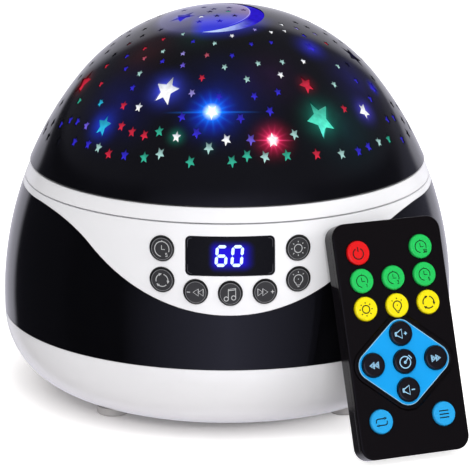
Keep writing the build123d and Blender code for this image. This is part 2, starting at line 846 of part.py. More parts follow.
def surface_plane(azimuth, polar, roll):
    """A plane on the dome: azimuth turns from the front to the right, polar is counted from the top."""
    tilt = math.radians(90 - polar)
    if 90 - polar > meet_angle:
        z = crown_z + crown_r * math.sin(tilt)
        reach = crown_r * math.cos(tilt)
    else:
        z = waist_z + flank_r * math.sin(tilt)
        reach = flank_radius(z)
    turn = math.radians(azimuth)
    spin = math.radians(roll)
    upright = Vector(0, 0, 1)
    outward = Vector(math.sin(turn), -math.cos(turn), 0)
    side = Vector(math.cos(turn), math.sin(turn), 0)
    normal = outward * math.cos(tilt) + upright * math.sin(tilt)
    rise = upright * math.cos(tilt) - outward * math.sin(tilt)
    return Plane(origin=outward * reach + upright * z, x_dir=side * math.cos(spin) + rise * math.sin(spin),
                 z_dir=normal)


def star_corners(radius):
    """Ten corners of a five-pointed star, one point up."""
    corners = []
    for k in range(10):
        reach = radius * (1 if k % 2 == 0 else star_waist)
        turn = math.radians(90 + 36 * k)
        corners.append((reach * math.cos(turn), reach * math.sin(turn)))
    return corners


# Large stars: azimuth, angle of the surface from the top, radius, roll; the last seven are behind
large_stars = [
    (-26.0, 45.3, 4.9, -18),
    (-47.0, 55.8, 3.7, -22),
    (33.8, 53.8, 6.3, 16),
    (34.0, 44.3, 3.1, 14),
    (55.6, 54.2, 3.3, 22),
    (-6.3, 51.4, 2.5, 0),
    (14.2, 56.4, 2.3, 0),
    (-75.0, 50.0, 4.4, 10),
    (-66.0, 15.4, 3.6, 20),
    (72.0, 51.5, 2.4, 12),
    (53.0, 31.8, 2.4, 25),
    (82.0, 41.0, 4.2, 15),
    (105.0, 52.0, 4.4, 0),
    (130.0, 43.0, 5.2, 20),
    (155.0, 52.0, 6.0, 40),
    (180.0, 43.0, 4.4, 60),
    (205.0, 52.0, 5.2, 8),
    (230.0, 43.0, 6.0, 28),
    (255.0, 52.0, 4.4, 48),
]

# Small stars in loose rows: angle of the surface from the top, radius, azimuths over half a turn.
# The moulding repeats them behind. They are scattered a little across the row and in roll, by degrees.
star_rows = [
    (59.2, 1.85, (-84, -76, -66, -57, -50, -45, -40, -34, -27, -22, -12, 1, 5, 11, 18, 28, 37, 44, 49, 55, 61,
                  70, 78, 86)),
    (55.6, 1.75, (-86, -79, -71, -66, -61, -55, -39, -34, -29, -24, -18, -11, -1, 7, 22, 67, 73, 81, 88)),
    (52.0, 1.6, (-84, -68, -54, -42, -35, -28, -17, 4, 15, 46, 64, 80, 87)),
    (46.0, 1.45, (-85, -68, -61, -42, -15, -4, 10, 20, 48, 63, 72, 80)),
    (40.3, 1.35, (-86, -76, -68, -53, -43, -12, 8, 24, 59, 67, 74)),
    (35.4, 1.3, (-82, -71, -60, -47, -35, -23, -2, 15, 28, 40, 76)),
    (30.8, 1.25, (-88, -70, -53, -39, -26, -12, 2, 70, 82)),
    (26.2, 1.2, (-84, -68, -47, -24, -9, 15, 29, 60, 73, 86)),
    (22.3, 1.15, (-78, -60, -36, 3, 36, 49, 64, 78)),
    (19.0, 1.15, (24, 56, 76)),
]
scatter_across = 0.55
scatter_roll = 26.0
moon_x = -3.2
moon_y = -6.1
moon_r = 14.3
moon_bite_x = -6.6
moon_bite_y = -5.0
moon_bite_r = 13.6


def too_close(azimuth, polar, radius, others):
    place = surface_plane(azimuth, polar, 0).origin
    return any((surface_plane(a, p, 0).origin - place).length < r + radius + star_spacing
               for a, p, r, _ in others)


small_stars = []
for row, (polar, radius, azimuths) in enumerate(star_rows):
    for azimuth in azimuths:
        place = polar + scatter_across * math.sin(0.9 * azimuth + 2 * row)
        roll = scatter_roll * math.sin(1.7 * azimuth + row)
        for turn in (azimuth, azimuth + 180):
            if not too_close(turn, place, radius, large_stars):
                small_stars.append((turn, place, radius, roll))
moon_stars = [(-12.0, 1.0), (-6.0, -3.5), (0.5, -2.0), (-14.5, -6.5), (-8.5, -8.5), (-1.5, -9.0),
              (-10.5, -13.5), (-3.0, 3.5), (-17.0, -1.0), (-8.5, 5.5)]

star_prisms = []
for azimuth, polar, radius, roll in large_stars + small_stars:
    outline = surface_plane(azimuth, polar, roll) * Polygon(*star_corners(radius), align=None)
    star_prisms.append(extrude(outline, amount=2 * dome_t, both=True))

with BuildPart() as star_dome:
    with BuildSketch(Plane.XZ):
        with BuildLine():
            low, high = dome_arcs(dome_edge_z, -dome_proud)
            inner_low, inner_high = dome_arcs(skirt_top_z, dome_inset)
            Polyline(
                low @ 0,
                (skirt_r, dome_edge_z),
                (skirt_r, dome_edge_z - skirt_drop),
                (skirt_r - skirt_t, dome_edge_z - skirt_drop),
                (skirt_r - skirt_t, skirt_top_z),
                inner_low @ 0,
            )
            Line(inner_high @ 1, high @ 1)
        make_face()
    revolve(axis=Axis.Z)
    fillet(star_dome.edges().filter_by(GeomType.CIRCLE).filter_by(
        lambda e: abs(e.radius - flank_radius(dome_edge_z, -dome_proud)) < 1e-3), edge_round)
    add(star_prisms, mode=Mode.SUBTRACT)
    with BuildSketch(Plane.XY.offset(crown_z + crown_r / 2)):
        with Locations((moon_x, moon_y)):
            Circle(moon_r)
        with Locations((moon_bite_x, moon_bite_y)):
            Circle(moon_bite_r, mode=Mode.SUBTRACT)
        for x, y in moon_stars:
            with Locations((x, y)):
                Polygon(*star_corners(moon_star_r), align=None)
    extrude(amount=crown_r, mode=Mode.SUBTRACT)
star_dome.part.label = "star_dome"
export_step(star_dome.part, "parts/star_dome.step")

with BuildPart() as star_liner:
    with BuildSketch(Plane.XZ):
        with BuildLine():
            low, high = dome_arcs(liner_low_z, liner_inset)
            inner_low, inner_high = dome_arcs(liner_low_z, liner_inset + liner_t)
            Line(low @ 0, inner_low @ 0)
            Line(inner_high @ 1, high @ 1)
        make_face()
    revolve(axis=Axis.Z)
star_liner.part.label = "star_liner"
export_step(star_liner.part, "parts/star_liner.step")

# Remote control: it stands on the table and leans back against the projector
remote_w = 34.5
remote_len = 69.3
remote_t = 6.5
remote_corner = 4.2
remote_azimuth = 34.4
remote_yaw = 20.3
remote_lean = 21.75
remote_rest_gap = 0.3
remote_wall = 1.2
remote_floor_t = 0.9
face_t = 1.0
face_edge = 0.5
back_edge = 0.8
parting = 4.6
parting_gap = 0.05
remote_board_t = 0.8
remote_board_gap = 0.3
remote_post_r = 1.6
remote_post_side = 4.0
remote_post_end = 6.0
key_r = 3.55
key_gap = 0.15
key_flange_r = 3.95
key_flange_t = 0.5
key_proud = 0.9
key_edge = 0.6
key_travel = 0.35
key_end_gap = 0.15
key_pitch_x = 9.97
key_pitch_y = 8.25
key_first = 8.9
inlay_t = 0.2
inlay_margin = 1.9
cell_r = 10.0
cell_h = 2.5
cell_step = 1.2
cell_cap_h = 2.2
cell_gap = 0.2
cell_wall_r = 12.3
cell_y = 40.0
cap_r = 11.4
cap_slot_w = 1.8
cap_slot_depth = 0.5
sender_r = 1.1
sender_depth = 2.3
sender_w = 4.0
sender_d = 3.0
sender_setback = 4.0
sender_opening = 2.6
key_places = {
    "key_power": (-1, 0),
    "key_timer_30": (1, 0),
    "key_timer_1": (-1, 1),
    "key_timer_3": (0, 1),
    "key_timer_5": (1, 1),
    "key_warm_light": (-1, 2),
    "key_colour_light": (0, 2),
    "key_rotation": (1, 2),
    "key_volume_up": (0, 3),
    "key_previous": (-1, 4),
    "key_play": (0, 4),
    "key_next": (1, 4),
    "key_volume_down": (0, 5),
    "key_repeat": (-1, 6),
    "key_order": (1, 6),
}
inlay_keys = ("key_volume_up", "key_previous", "key_next", "key_volume_down")

yaw = math.radians(remote_yaw)
lean = math.radians(remote_lean)
remote_side = Vector(math.cos(yaw), math.sin(yaw), 0)
remote_face = Vector(math.sin(yaw) * math.cos(lean), -math.cos(yaw) * math.cos(lean), math.sin(lean))
remote_up = remote_face.cross(remote_side)


def remote_foot(reach):
    turn = math.radians(remote_azimuth)
    return Vector(reach * math.sin(turn), -reach * math.cos(turn), 0)


def back_gap(reach):
    """Least distance from the remote's flat back to the projector, for a foot at this reach."""
    gaps = []
    for across in range(-10, 11):
        for along in range(20, 61):
            spot = remote_foot(reach) + remote_side * (across / 20 * remote_w)
            spot += remote_up * (along / 60 * remote_len)
            gaps.append(math.hypot(spot.X, spot.Y) - flank_radius(spot.Z))
    return min(gaps)


near, far = body_r, body_r + remote_len
for _ in range(40):
    middle = (near + far) / 2
    if back_gap(middle) < remote_rest_gap:
        near = middle
    else:
        far = middle
remote_plane = Plane(origin=remote_foot(far), x_dir=remote_side, z_dir=remote_face)
print("remote stands", round(far, 2), "mm from the axis")


def key_spot(name):
    column, row = key_places[name]
    return column * key_pitch_x, remote_len - key_first - row * key_pitch_y


face_low = remote_t - face_t
key_seat = face_low - seat_gap - key_flange_t
board_high = key_seat - key_travel - key_end_gap
board_low = board_high - remote_board_t
middle_y = remote_len / 2
remote_inner_w = remote_w - 2 * remote_wall
remote_inner_len = remote_len - 2 * remote_wall
remote_inner_corner = remote_corner - remote_wall
sender_low = sender_depth - sender_r - seat_gap
key_spots = [key_spot(name) for name in key_places]


def inlay_outline(grow):
    """A rounded rhombus round the four outer black keys."""
    with BuildSketch(remote_plane.offset(remote_t - inlay_t)) as outline:
        with Locations(*[key_spot(name) for name in inlay_keys]):
            Circle(key_r + inlay_margin + grow)
        make_hull()
    return outline.sketch


with BuildPart() as remote_back:
    with BuildSketch(remote_plane):
        with Locations((0, middle_y)):
            RectangleRounded(remote_w, remote_len, remote_corner)
    extrude(amount=parting)
    fillet(remote_back.faces().sort_by(Axis(remote_plane.origin, remote_face))[0].edges(), back_edge)
    with BuildSketch(remote_plane.offset(remote_floor_t)):
        with Locations((0, middle_y)):
            RectangleRounded(remote_inner_w, remote_inner_len, remote_inner_corner)
    extrude(amount=parting - remote_floor_t, mode=Mode.SUBTRACT)
    with BuildSketch(remote_plane.offset(remote_floor_t)):
        with Locations((0, middle_y)):
            with GridLocations(remote_w - 2 * remote_post_side, remote_len - 2 * remote_post_end, 2, 2):
                Circle(remote_post_r)
    extrude(amount=board_low - remote_floor_t)
    with BuildSketch(remote_plane.offset(remote_floor_t)):
        with Locations((0, cell_y)):
            Circle(cell_wall_r)
            Circle(cell_r + cell_gap, mode=Mode.SUBTRACT)
    extrude(amount=cell_h)
    with BuildSketch(remote_plane):
        with Locations((0, cell_y)):
            Circle(cap_r + running_gap)
    extrude(amount=remote_floor_t, mode=Mode.SUBTRACT)
    with BuildSketch(remote_plane.offset(sender_depth)):
        with Locations((0, remote_len)):
            Rectangle(sender_opening, 4 * remote_wall)
    extrude(amount=sender_r + snug_gap, both=True, mode=Mode.SUBTRACT)
remote_back.part.label = "remote_back"
export_step(remote_back.part, "parts/remote_back.step")

with BuildPart() as remote_front:
    with BuildSketch(remote_plane.offset(parting + parting_gap)):
        with Locations((0, middle_y)):
            RectangleRounded(remote_w, remote_len, remote_corner)
    extrude(amount=remote_t - parting - parting_gap)
    fillet(remote_front.faces().sort_by(Axis(remote_plane.origin, remote_face))[-1].edges(), face_edge)
    with BuildSketch(remote_plane.offset(parting)):
        with Locations((0, middle_y)):
            RectangleRounded(remote_inner_w, remote_inner_len, remote_inner_corner)
    extrude(amount=face_low - parting, mode=Mode.SUBTRACT)
    with BuildSketch(remote_plane.offset(face_low)):
        with Locations(*key_spots):
            Circle(key_r + key_gap)
    extrude(amount=face_t, mode=Mode.SUBTRACT)
    extrude(inlay_outline(seat_gap), amount=inlay_t, mode=Mode.SUBTRACT)
remote_front.part.label = "remote_front"
export_step(remote_front.part, "parts/remote_front.step")

with BuildPart() as remote_inlay:
    extrude(inlay_outline(0), amount=inlay_t)
    with BuildSketch(remote_plane.offset(remote_t - inlay_t)):
        with Locations(*key_spots):
            Circle(key_r + key_gap)
    extrude(amount=inlay_t, mode=Mode.SUBTRACT)
remote_inlay.part.label = "remote_inlay"
export_step(remote_inlay.part, "parts/remote_inlay.step")

with BuildPart() as remote_board:
    with BuildSketch(remote_plane.offset(board_low)):
        with Locations((0, middle_y)):
            RectangleRounded(remote_inner_w - 2 * remote_board_gap, remote_inner_len - 2 * remote_board_gap,
                             remote_inner_corner - remote_board_gap)
    extrude(amount=remote_board_t)
remote_board.part.label = "remote_board"
export_step(remote_board.part, "parts/remote_board.step")

with BuildPart() as ir_led:
    with BuildSketch(remote_plane.offset(sender_low)):
        with Locations((0, remote_len - remote_wall - sender_setback)):
            Rectangle(sender_w, sender_d)
    extrude(amount=board_low - sender_low)
    lens_root = remote_plane.from_local_coords((0, remote_len - remote_wall - sender_setback, sender_depth))
    with BuildSketch(Plane(origin=lens_root, x_dir=remote_side, z_dir=remote_up)):
        Circle(sender_r)
    extrude(amount=sender_setback + remote_wall - remote_board_gap)
ir_led.part.label = "ir_led"
export_step(ir_led.part, "parts/ir_led.step")

with BuildPart() as battery_cap:
    with BuildSketch(remote_plane):
        with Locations((0, cell_y)):
            Circle(cap_r)
    extrude(amount=remote_floor_t)
    with BuildSketch(remote_plane):
        with Locations((0, cell_y)):
            SlotOverall(cap_r, cap_slot_w)
    extrude(amount=cap_slot_depth, mode=Mode.SUBTRACT)
battery_cap.part.label = "battery_cap"
export_step(battery_cap.part, "parts/battery_cap.step")

with BuildPart() as coin_cell:
    with BuildSketch(remote_plane.offset(remote_floor_t + seat_gap)):
        with Locations((0, cell_y)):
            Circle(cell_r)
    extrude(amount=cell_cap_h)
    with BuildSketch(remote_plane.offset(remote_floor_t + seat_gap)):
        with Locations((0, cell_y)):
            Circle(cell_r - cell_step)
    extrude(amount=board_low - remote_floor_t - seat_gap - snug_gap)
coin_cell.part.label = "coin_cell"
export_step(coin_cell.part, "parts/coin_cell.step")

for name in key_places:
    with BuildPart() as key:
        with BuildSketch(remote_plane.offset(key_seat)):
            with Locations(key_spot(name)):
                Circle(key_flange_r)
        extrude(amount=key_flange_t)
        with BuildSketch(remote_plane.offset(key_seat)):
            with Locations(key_spot(name)):
                Circle(key_r)
        extrude(amount=remote_t + key_proud - key_seat)
        fillet(key.faces().sort_by(Axis(remote_plane.origin, remote_face))[-1].edges(), key_edge)
    key.part.label = name
    export_step(key.part, f"parts/{name}.step")
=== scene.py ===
# %% [markdown]
# # A rotating night light projector with its remote control
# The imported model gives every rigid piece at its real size. This lesson dresses it: it finishes
# each surface, cuts the full pattern of stars into the dome, lights the lining behind them and
# draws the icons. All lengths are in metres, so MM turns the designer's millimetres into them.

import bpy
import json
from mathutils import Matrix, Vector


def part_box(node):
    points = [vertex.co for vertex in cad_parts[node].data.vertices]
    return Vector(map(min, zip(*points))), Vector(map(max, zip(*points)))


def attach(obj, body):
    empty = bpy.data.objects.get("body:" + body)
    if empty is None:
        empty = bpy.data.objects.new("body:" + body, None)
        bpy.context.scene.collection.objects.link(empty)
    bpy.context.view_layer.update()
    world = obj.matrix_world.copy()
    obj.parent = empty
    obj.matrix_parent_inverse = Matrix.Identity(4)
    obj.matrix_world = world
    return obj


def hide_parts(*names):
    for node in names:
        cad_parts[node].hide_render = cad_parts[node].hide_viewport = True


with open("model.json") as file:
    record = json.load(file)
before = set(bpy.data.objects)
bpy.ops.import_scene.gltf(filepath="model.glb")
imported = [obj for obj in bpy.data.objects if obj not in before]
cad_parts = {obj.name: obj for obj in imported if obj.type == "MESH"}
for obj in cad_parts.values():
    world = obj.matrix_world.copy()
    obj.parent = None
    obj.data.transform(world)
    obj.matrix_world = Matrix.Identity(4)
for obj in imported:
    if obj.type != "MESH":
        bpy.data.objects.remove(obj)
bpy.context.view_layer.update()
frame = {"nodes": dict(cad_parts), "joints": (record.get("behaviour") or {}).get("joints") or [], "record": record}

import json
import math

import bmesh
import bpy
from mathutils import Matrix, Vector

MM = 0.001
nodes = frame["nodes"]
scene = bpy.context.scene
scene.view_settings.view_transform = "Standard"

# %% [markdown]
# ## The form that everything sits on
# The body is one turned surface: a flank arc that is widest at the waist and a crown arc that
# takes over above it. Anything printed or cut on the body needs the height, radius and normal
# of that surface, so these few numbers and one function come first.

# %% The turned surface
WAIST_R = 70.0 * MM
WAIST_Z = 28.0 * MM
FLANK_R = 110.0 * MM
CROWN_R = 59.0 * MM
DOME_PROUD = 0.4 * MM
FLANK_X = WAIST_R - FLANK_R
CROWN_Z = WAIST_Z + math.sqrt((FLANK_R - CROWN_R) ** 2 - FLANK_X**2)
MEET = math.atan2(CROWN_Z - WAIST_Z, -FLANK_X)


def flank_radius(z, proud=0.0):
    return FLANK_X + math.sqrt((FLANK_R + proud) ** 2 - (z - WAIST_Z) ** 2)


def dome_place(azimuth, polar):
    """A matrix on the dome: azimuth turns right from the front, polar is the normal's angle from the top."""
    turn, rise = math.radians(azimuth), math.radians(90 - polar)
    if rise > MEET:
        reach, height = CROWN_R * math.cos(rise), CROWN_Z + CROWN_R * math.sin(rise)
    else:
        height = WAIST_Z + FLANK_R * math.sin(rise)
        reach = flank_radius(height)
    outward = Vector((math.sin(turn), -math.cos(turn), 0))
    side = Vector((math.cos(turn), math.sin(turn), 0))
    normal = outward * math.cos(rise) + Vector((0, 0, math.sin(rise)))
    matrix = Matrix((side, normal.cross(side), normal)).transposed().to_4x4()
    matrix.translation = outward * reach + Vector((0, 0, height))
    return matrix


print("crown starts", round((CROWN_Z + CROWN_R * math.sin(MEET)) / MM, 1), "mm up")

# %% [markdown]
# ## The camera
# A long lens from 0.9 m, a little above the table, keeps the sides almost parallel. The camera
# looks at a point beside the axis, so that the picture is framed without any lens shift.

# %% Camera
CAMERA_DISTANCE = 900.0 * MM
CAMERA_RISE = math.radians(15.518)
CAMERA_TURN = math.radians(-0.75)
LENS = 219.7
SENSOR = 36.0
AXIS_POINT = Vector((0, 0, 48.5 * MM))
LOOK_AT = Vector((2.44 * MM, 0, 46.1 * MM))

camera_data = bpy.data.cameras.new("camera")
camera_data.lens = LENS
camera_data.sensor_width = SENSOR
camera = bpy.data.objects.new("camera", camera_data)
scene.collection.objects.link(camera)
flat = math.cos(CAMERA_RISE) * CAMERA_DISTANCE
camera.location = AXIS_POINT + Vector((flat * math.sin(CAMERA_TURN), -flat * math.cos(CAMERA_TURN),
                                       CAMERA_DISTANCE * math.sin(CAMERA_RISE)))
camera.rotation_euler = (LOOK_AT - camera.location).to_track_quat("-Z", "Y").to_euler()
scene.camera = camera
print("camera at", [round(v, 3) for v in camera.location])

# %% [markdown]
# ## Shader maths as plain sums
# Node trees are easier to read as formulas. A Value wraps one output socket and overloads the
# operators, so that `1 - mask` adds a Math node. Places and colours are vectors, and a Math node
# would turn those grey, so they go through Vector Math.


# %% Values
class Value:
    def __init__(self, finish, socket):
        self.finish = finish
        self.socket = socket

    def maths(self, operation, *others):
        return self.finish.node("ShaderNodeMath", {"operation": operation}, dict(enumerate((self,) + others)))

    def vectors(self, operation, other, output="Vector"):
        """Vector Math with another vector, from a node or written out."""
        other = other if isinstance(other, Value) else tuple(other)
        return self.finish.node("ShaderNodeVectorMath", {"operation": operation}, {0: self, 1: other}, output)

    def __add__(self, other):
        return self.maths("ADD", other)

    def __sub__(self, other):
        return self.maths("SUBTRACT", other)

    def __mul__(self, other):
        return self.maths("MULTIPLY", other)

    def __truediv__(self, other):
        return self.maths("DIVIDE", other)

    def __pow__(self, other):
        return self.maths("POWER", other)

    def __rsub__(self, other):
        return self.finish.node("ShaderNodeMath", {"operation": "SUBTRACT"}, {0: other, 1: self})

    def __abs__(self):
        return self.maths("ABSOLUTE")

    __radd__ = __add__
    __rmul__ = __mul__

    def limit(self):
        """No less than 0 and no more than 1."""
        return self.finish.node("ShaderNodeClamp", {}, {"Value": self})

    def grows(self, start, full):
        """0 up to start, 1 from full on; falls instead where full is less than start."""
        return ((self - start) / (full - start)).limit()

    def fades(self, reach):
        """1 up to 0, then down to 0 at the reach."""
        return 1 - (self / reach).limit()

    def distance(self, point):
        return self.vectors("DISTANCE", point, "Value")

    def dot(self, axis):
        return self.vectors("DOT_PRODUCT", axis, "Value")

    def times(self, colour):
        """A colour, made as strong as this value."""
        colour = colour if isinstance(colour, Value) else tuple(colour)[:3]
        return self.finish.node("ShaderNodeVectorMath", {"operation": "SCALE"}, {0: colour, "Scale": self},
                                "Vector")

    def out(self, name):
        """Another output of the same node."""
        return Value(self.finish, self.socket.node.outputs[name])


print("values can be added, multiplied, limited and faded")

# %% [markdown]
# A Finish is one material. Its `node` method adds any node from its type, its settings and the
# values or links of its inputs. The short methods after it name what nearly every finish here
# needs: the place on the piece, noise, a blend of two colours, a bumpy skin and the one
# Principled shader that covers the piece.


# %% Finishes
class Finish:
    def __init__(self, name, owner=None, kind="ShaderNodeOutputMaterial"):
        self.material = owner or bpy.data.materials.new(name)
        self.material.use_nodes = True
        self.tree = self.material.node_tree
        self.tree.nodes.clear()
        self.surface = self.tree.nodes.new(kind).inputs["Surface"]

    def node(self, kind, settings, values, output=0):
        node = self.tree.nodes.new(kind)
        for name, setting in settings.items():
            setattr(node, name, setting)
        for name, value in values.items():
            if isinstance(value, Value):
                self.tree.links.new(value.socket, node.inputs[name])
            else:
                node.inputs[name].default_value = value
        return Value(self, node.outputs[output])

    def show(self, shader):
        self.tree.links.new(shader.socket, self.surface)
        return self.material

    def cover(self, values):
        """Shows one Principled shader with these values."""
        return self.show(self.node("ShaderNodeBsdfPrincipled", {}, values))

    def place(self):
        """Where on the piece the shader stands, in metres."""
        return self.node("ShaderNodeTexCoord", {}, {}, "Object")

    def noise(self, scale, detail=2.0):
        """Soft noise around 0.5 over the piece, with features of about 1/scale metres."""
        return self.node("ShaderNodeTexNoise", {}, {"Vector": self.place(), "Scale": scale, "Detail": detail},
                         "Fac")

    def blend(self, factor, first, second):
        return self.node("ShaderNodeMix", {"data_type": "RGBA"},
                         {"Factor": factor, "A": first, "B": second}, "Result")

    def skin(self, height, strength, depth, **under):
        """A bumpy normal, on top of another one where that is given."""
        return self.node("ShaderNodeBump", {}, {
            "Height": height, "Strength": strength, "Distance": depth, **under})


def tint(red, green, blue):
    """A linear colour from the values 0 to 255 that a picture shows."""
    channels = []
    for value in (red, green, blue):
        share = value / 255
        channels.append(share / 12.92 if share <= 0.04045 else ((share + 0.055) / 1.055) ** 2.4)
    return (*channels, 1.0)


print("white is", [round(c, 3) for c in tint(255, 255, 255)])

# %% [markdown]
# ## The studio
# A white sweep seen by the camera, a soft sky that lights from all around, and four softboxes.
# Dark gloss shows only what it mirrors, so the world that mirror rays see is shaped by direction,
# as a photographer shapes it with flags and cards: dim overhead, a lit card low in front, black
# flags low at both sides, grey cards further back and a white wall behind. The table hides none
# of it, because mirror rays pass through it. The shaping needs the direction of a mirrored ray:
# its three parts run from -1 to 1, and the angle round the object is counted from the front.

# %% Directions of the sky
sky = Finish("studio_sky", bpy.data.worlds.new("studio_sky"), "ShaderNodeOutputWorld")
scene.world = sky.material
towards = sky.node("ShaderNodeTexCoord", {}, {}, "Generated")
to_right = sky.node("ShaderNodeSeparateXYZ", {}, {"Vector": towards}, "X")
to_back, to_top = to_right.out("Y"), to_right.out("Z")
round_angle = abs(to_right).maths("ARCTAN2", to_back * -1)
print("sky parts:", len(sky.tree.nodes), "nodes")

# %% [markdown]
# Each card is a colour and a mask over those directions. Where no card stands, gloss mirrors
# the black flags. A mask that grows over a short span gives its card a soft edge.

# %% Cards and flags
FLAG_BLACK = (0.006, 0.006, 0.008, 1)
WALL_WHITE = (0.8, 0.79, 0.9, 1)
GREY_ON_LEFT = 0.12
BACK_LEAN, WALL_LEAN = 0.28, 0.3
grey_side = to_right.grows(-0.2, 0.2) * (1 - GREY_ON_LEFT) + GREY_ON_LEFT
# a later card stands in front of the ones before it
cards = {
    "right_card": ((0.2, 0.195, 0.25, 1), to_right.grows(0.0, 0.25) * to_back.grows(0.45, 0.75)),
    "grey_card": ((0.17, 0.17, 0.23, 1), round_angle.grows(1.5, 1.66) * to_top.grows(0.17, 0.13) * grey_side),
    "front_card": ((0.75, 0.75, 1.1, 1), round_angle.grows(0.97, 0.0) * abs(to_top).grows(0.62, 0.47)),
    "overhead": ((0.115, 0.115, 0.15, 1), (to_top + to_back * BACK_LEAN).grows(0.37, 0.41)),
    "low_wall": (WALL_WHITE, round_angle.grows(2.42, 2.52) * to_top.grows(0.07, 0.04)),
    "back_wall": (WALL_WHITE, (to_back + abs(to_top) * WALL_LEAN).grows(0.92, 0.97)),
}
mirrored = FLAG_BLACK
for colour, mask in cards.values():
    mirrored = sky.blend(mask, mirrored, colour)
print("cards:", ", ".join(cards))

# %% [markdown]
# Three kinds of rays look at the world. The camera sees plain white, mirror rays see the cards,
# and everything else is lit by the even sky. Light Path tells them apart.

# %% World
SKY_LIGHT = 0.57
WHITE = (1, 1, 1, 1)


def background(colour, strength=1.0):
    return sky.node("ShaderNodeBackground", {}, {"Color": colour, "Strength": strength})


for_camera = sky.node("ShaderNodeLightPath", {}, {}, "Is Camera Ray")
studio = sky.node("ShaderNodeMixShader", {}, {
    "Fac": for_camera.out("Is Glossy Ray"), 1: background(WHITE, SKY_LIGHT), 2: background(mirrored)})
sky.show(sky.node("ShaderNodeMixShader", {}, {"Fac": for_camera, 1: studio, 2: background(WHITE)}))
print("sky light", SKY_LIGHT)

# %% [markdown]
# The softboxes are area lamps. They model the shells softly and give the object its shadow.
# Mirror rays don't see them, because the cards already stand for all that gloss shows.

# %% Softboxes
# place, aim, width and height in metres, and power in watts
SOFTBOXES = {
    "top_box": ((0.15, -0.3, 1.1), (0, 0, 0.05), 0.9, 0.7, 3.4),
    "front_box": ((0.35, -1.3, 0.6), (0, 0, 0.05), 0.6, 0.4, 2.7),
    "side_box": ((1.1, -0.45, 0.45), (0, 0, 0.06), 0.35, 0.9, 4.0),
    "fill_box": ((-0.2, -1.3, 0.25), (0.03, 0, 0.05), 0.4, 0.5, 1.6),
}
for name, (place, aim, width, height, power) in SOFTBOXES.items():
    lamp = bpy.data.lights.new(name, "AREA")
    lamp.shape = "RECTANGLE"
    lamp.size, lamp.size_y = width, height
    lamp.energy = power
    holder = bpy.data.objects.new(name, lamp)
    holder.location = place
    holder.rotation_euler = (Vector(aim) - Vector(place)).to_track_quat("-Z", "Y").to_euler()
    holder.visible_glossy = False
    scene.collection.objects.link(holder)
print("softboxes:", ", ".join(SOFTBOXES))

# %% [markdown]
# The table is a large disc that belongs to the studio and not to the object. It is the first form
# made with bmesh here, and the function that turns it into an object serves all later ones.

# %% Table
TABLE_R = 3.0
TABLE_STEPS = 96


def to_object(name, bm, smooth=True):
    """Turns a bmesh into an object of the scene."""
    mesh = bpy.data.meshes.new(name)
    bm.to_mesh(mesh)
    bm.free()
    for face in mesh.polygons:
        face.use_smooth = smooth
    piece = bpy.data.objects.new(name, mesh)
    scene.collection.objects.link(piece)
    return piece


disc_mesh = bmesh.new()
bmesh.ops.create_circle(disc_mesh, cap_ends=True, segments=TABLE_STEPS, radius=TABLE_R)
table = to_object("table", disc_mesh, smooth=False)
table.visible_glossy = False
print("table", TABLE_R, "m")

# %% [markdown]
# The disc is white paper, and only the shadow under the object shows on it: for camera rays a
# weak glow lifts the paper everywhere, and a stronger one grows with the distance from the
# object, so that the paper is white just outside the shadow.

# %% Paper of the table
PAPER_GRAIN = 900.0
PAPER_DIM, PAPER_PALE = (0.91, 0.885, 0.88, 1), (0.94, 0.915, 0.91, 1)
NEAR_GLOW, FAR_GLOW = 0.1, 0.62
NEAR_R, FAR_R = 48.5 * MM, 73.0 * MM
GLOW_CENTRE = (-6.0 * MM, 0.0, 0.0)
paper = Finish("table_paper")
for_camera = paper.node("ShaderNodeLightPath", {}, {}, "Is Camera Ray")
matt = paper.node("ShaderNodeBsdfPrincipled", {}, {
    "Base Color": paper.blend(paper.noise(PAPER_GRAIN), PAPER_DIM, PAPER_PALE), "Roughness": 0.9,
    "Specular IOR Level": 0.0})
glow_level = paper.place().distance(GLOW_CENTRE).grows(NEAR_R, FAR_R) * FAR_GLOW + NEAR_GLOW
shine = paper.node("ShaderNodeEmission", {}, {"Color": (for_camera * glow_level).times(WHITE)})
table.data.materials.append(paper.show(paper.node("ShaderNodeAddShader", {}, {0: matt, 1: shine})))
print("paper", PAPER_DIM, "to", PAPER_PALE)

# %% [markdown]
# ## The finishes of the moulded pieces
# Almost everything here is injection moulded. A moulded surface is never one flat colour: its
# gloss drifts, the skin has a faint orange peel, and every edge has a small radius that catches
# light. The Bevel node rounds edges in the shading, a fine noise tilts the skin, and a slow one
# varies gloss and colour. One function makes each of these finishes from a few numbers.

# %% Moulded plastic
DRIFT_SCALE = 60.0
PEEL_SCALE = 1400.0
PEEL_DEPTH = 0.2 * MM
SMOOTHEST, ROUGHNESS_SPAN = 0.82, 0.35
COAT_ROUGHNESS = 0.04


def dimmed(colour, share):
    """A share of a colour."""
    return (*[share * channel for channel in colour[:3]], 1.0)


def moulded(name, colour, gloss, level=0.5, edge=0.25, peel=0.02, drift=0.06, coat=0.0):
    """A moulded skin: gloss is its roughness, level its reflection, edge the shaded edge radius in mm."""
    finish = Finish(name)
    slow = finish.noise(DRIFT_SCALE, 3.0)
    rounded = finish.node("ShaderNodeBevel", {"samples": 4}, {"Radius": edge * MM})
    return finish.cover({
        "Base Color": finish.blend(slow, dimmed(colour, 1 - drift), colour),
        "Roughness": slow * (ROUGHNESS_SPAN * gloss) + SMOOTHEST * gloss,
        "Specular IOR Level": level, "Coat Weight": coat, "Coat Roughness": COAT_ROUGHNESS,
        "Normal": finish.skin(finish.noise(PEEL_SCALE), peel, PEEL_DEPTH, Normal=rounded)})


print("moulded skin ready")

# %% [markdown]
# Each moulding then is one row: shells and keys are glossy, gears and lamp parts plain, the feet
# are soft rubber and the speaker's cone is coarse. The colours are those that a picture shows.

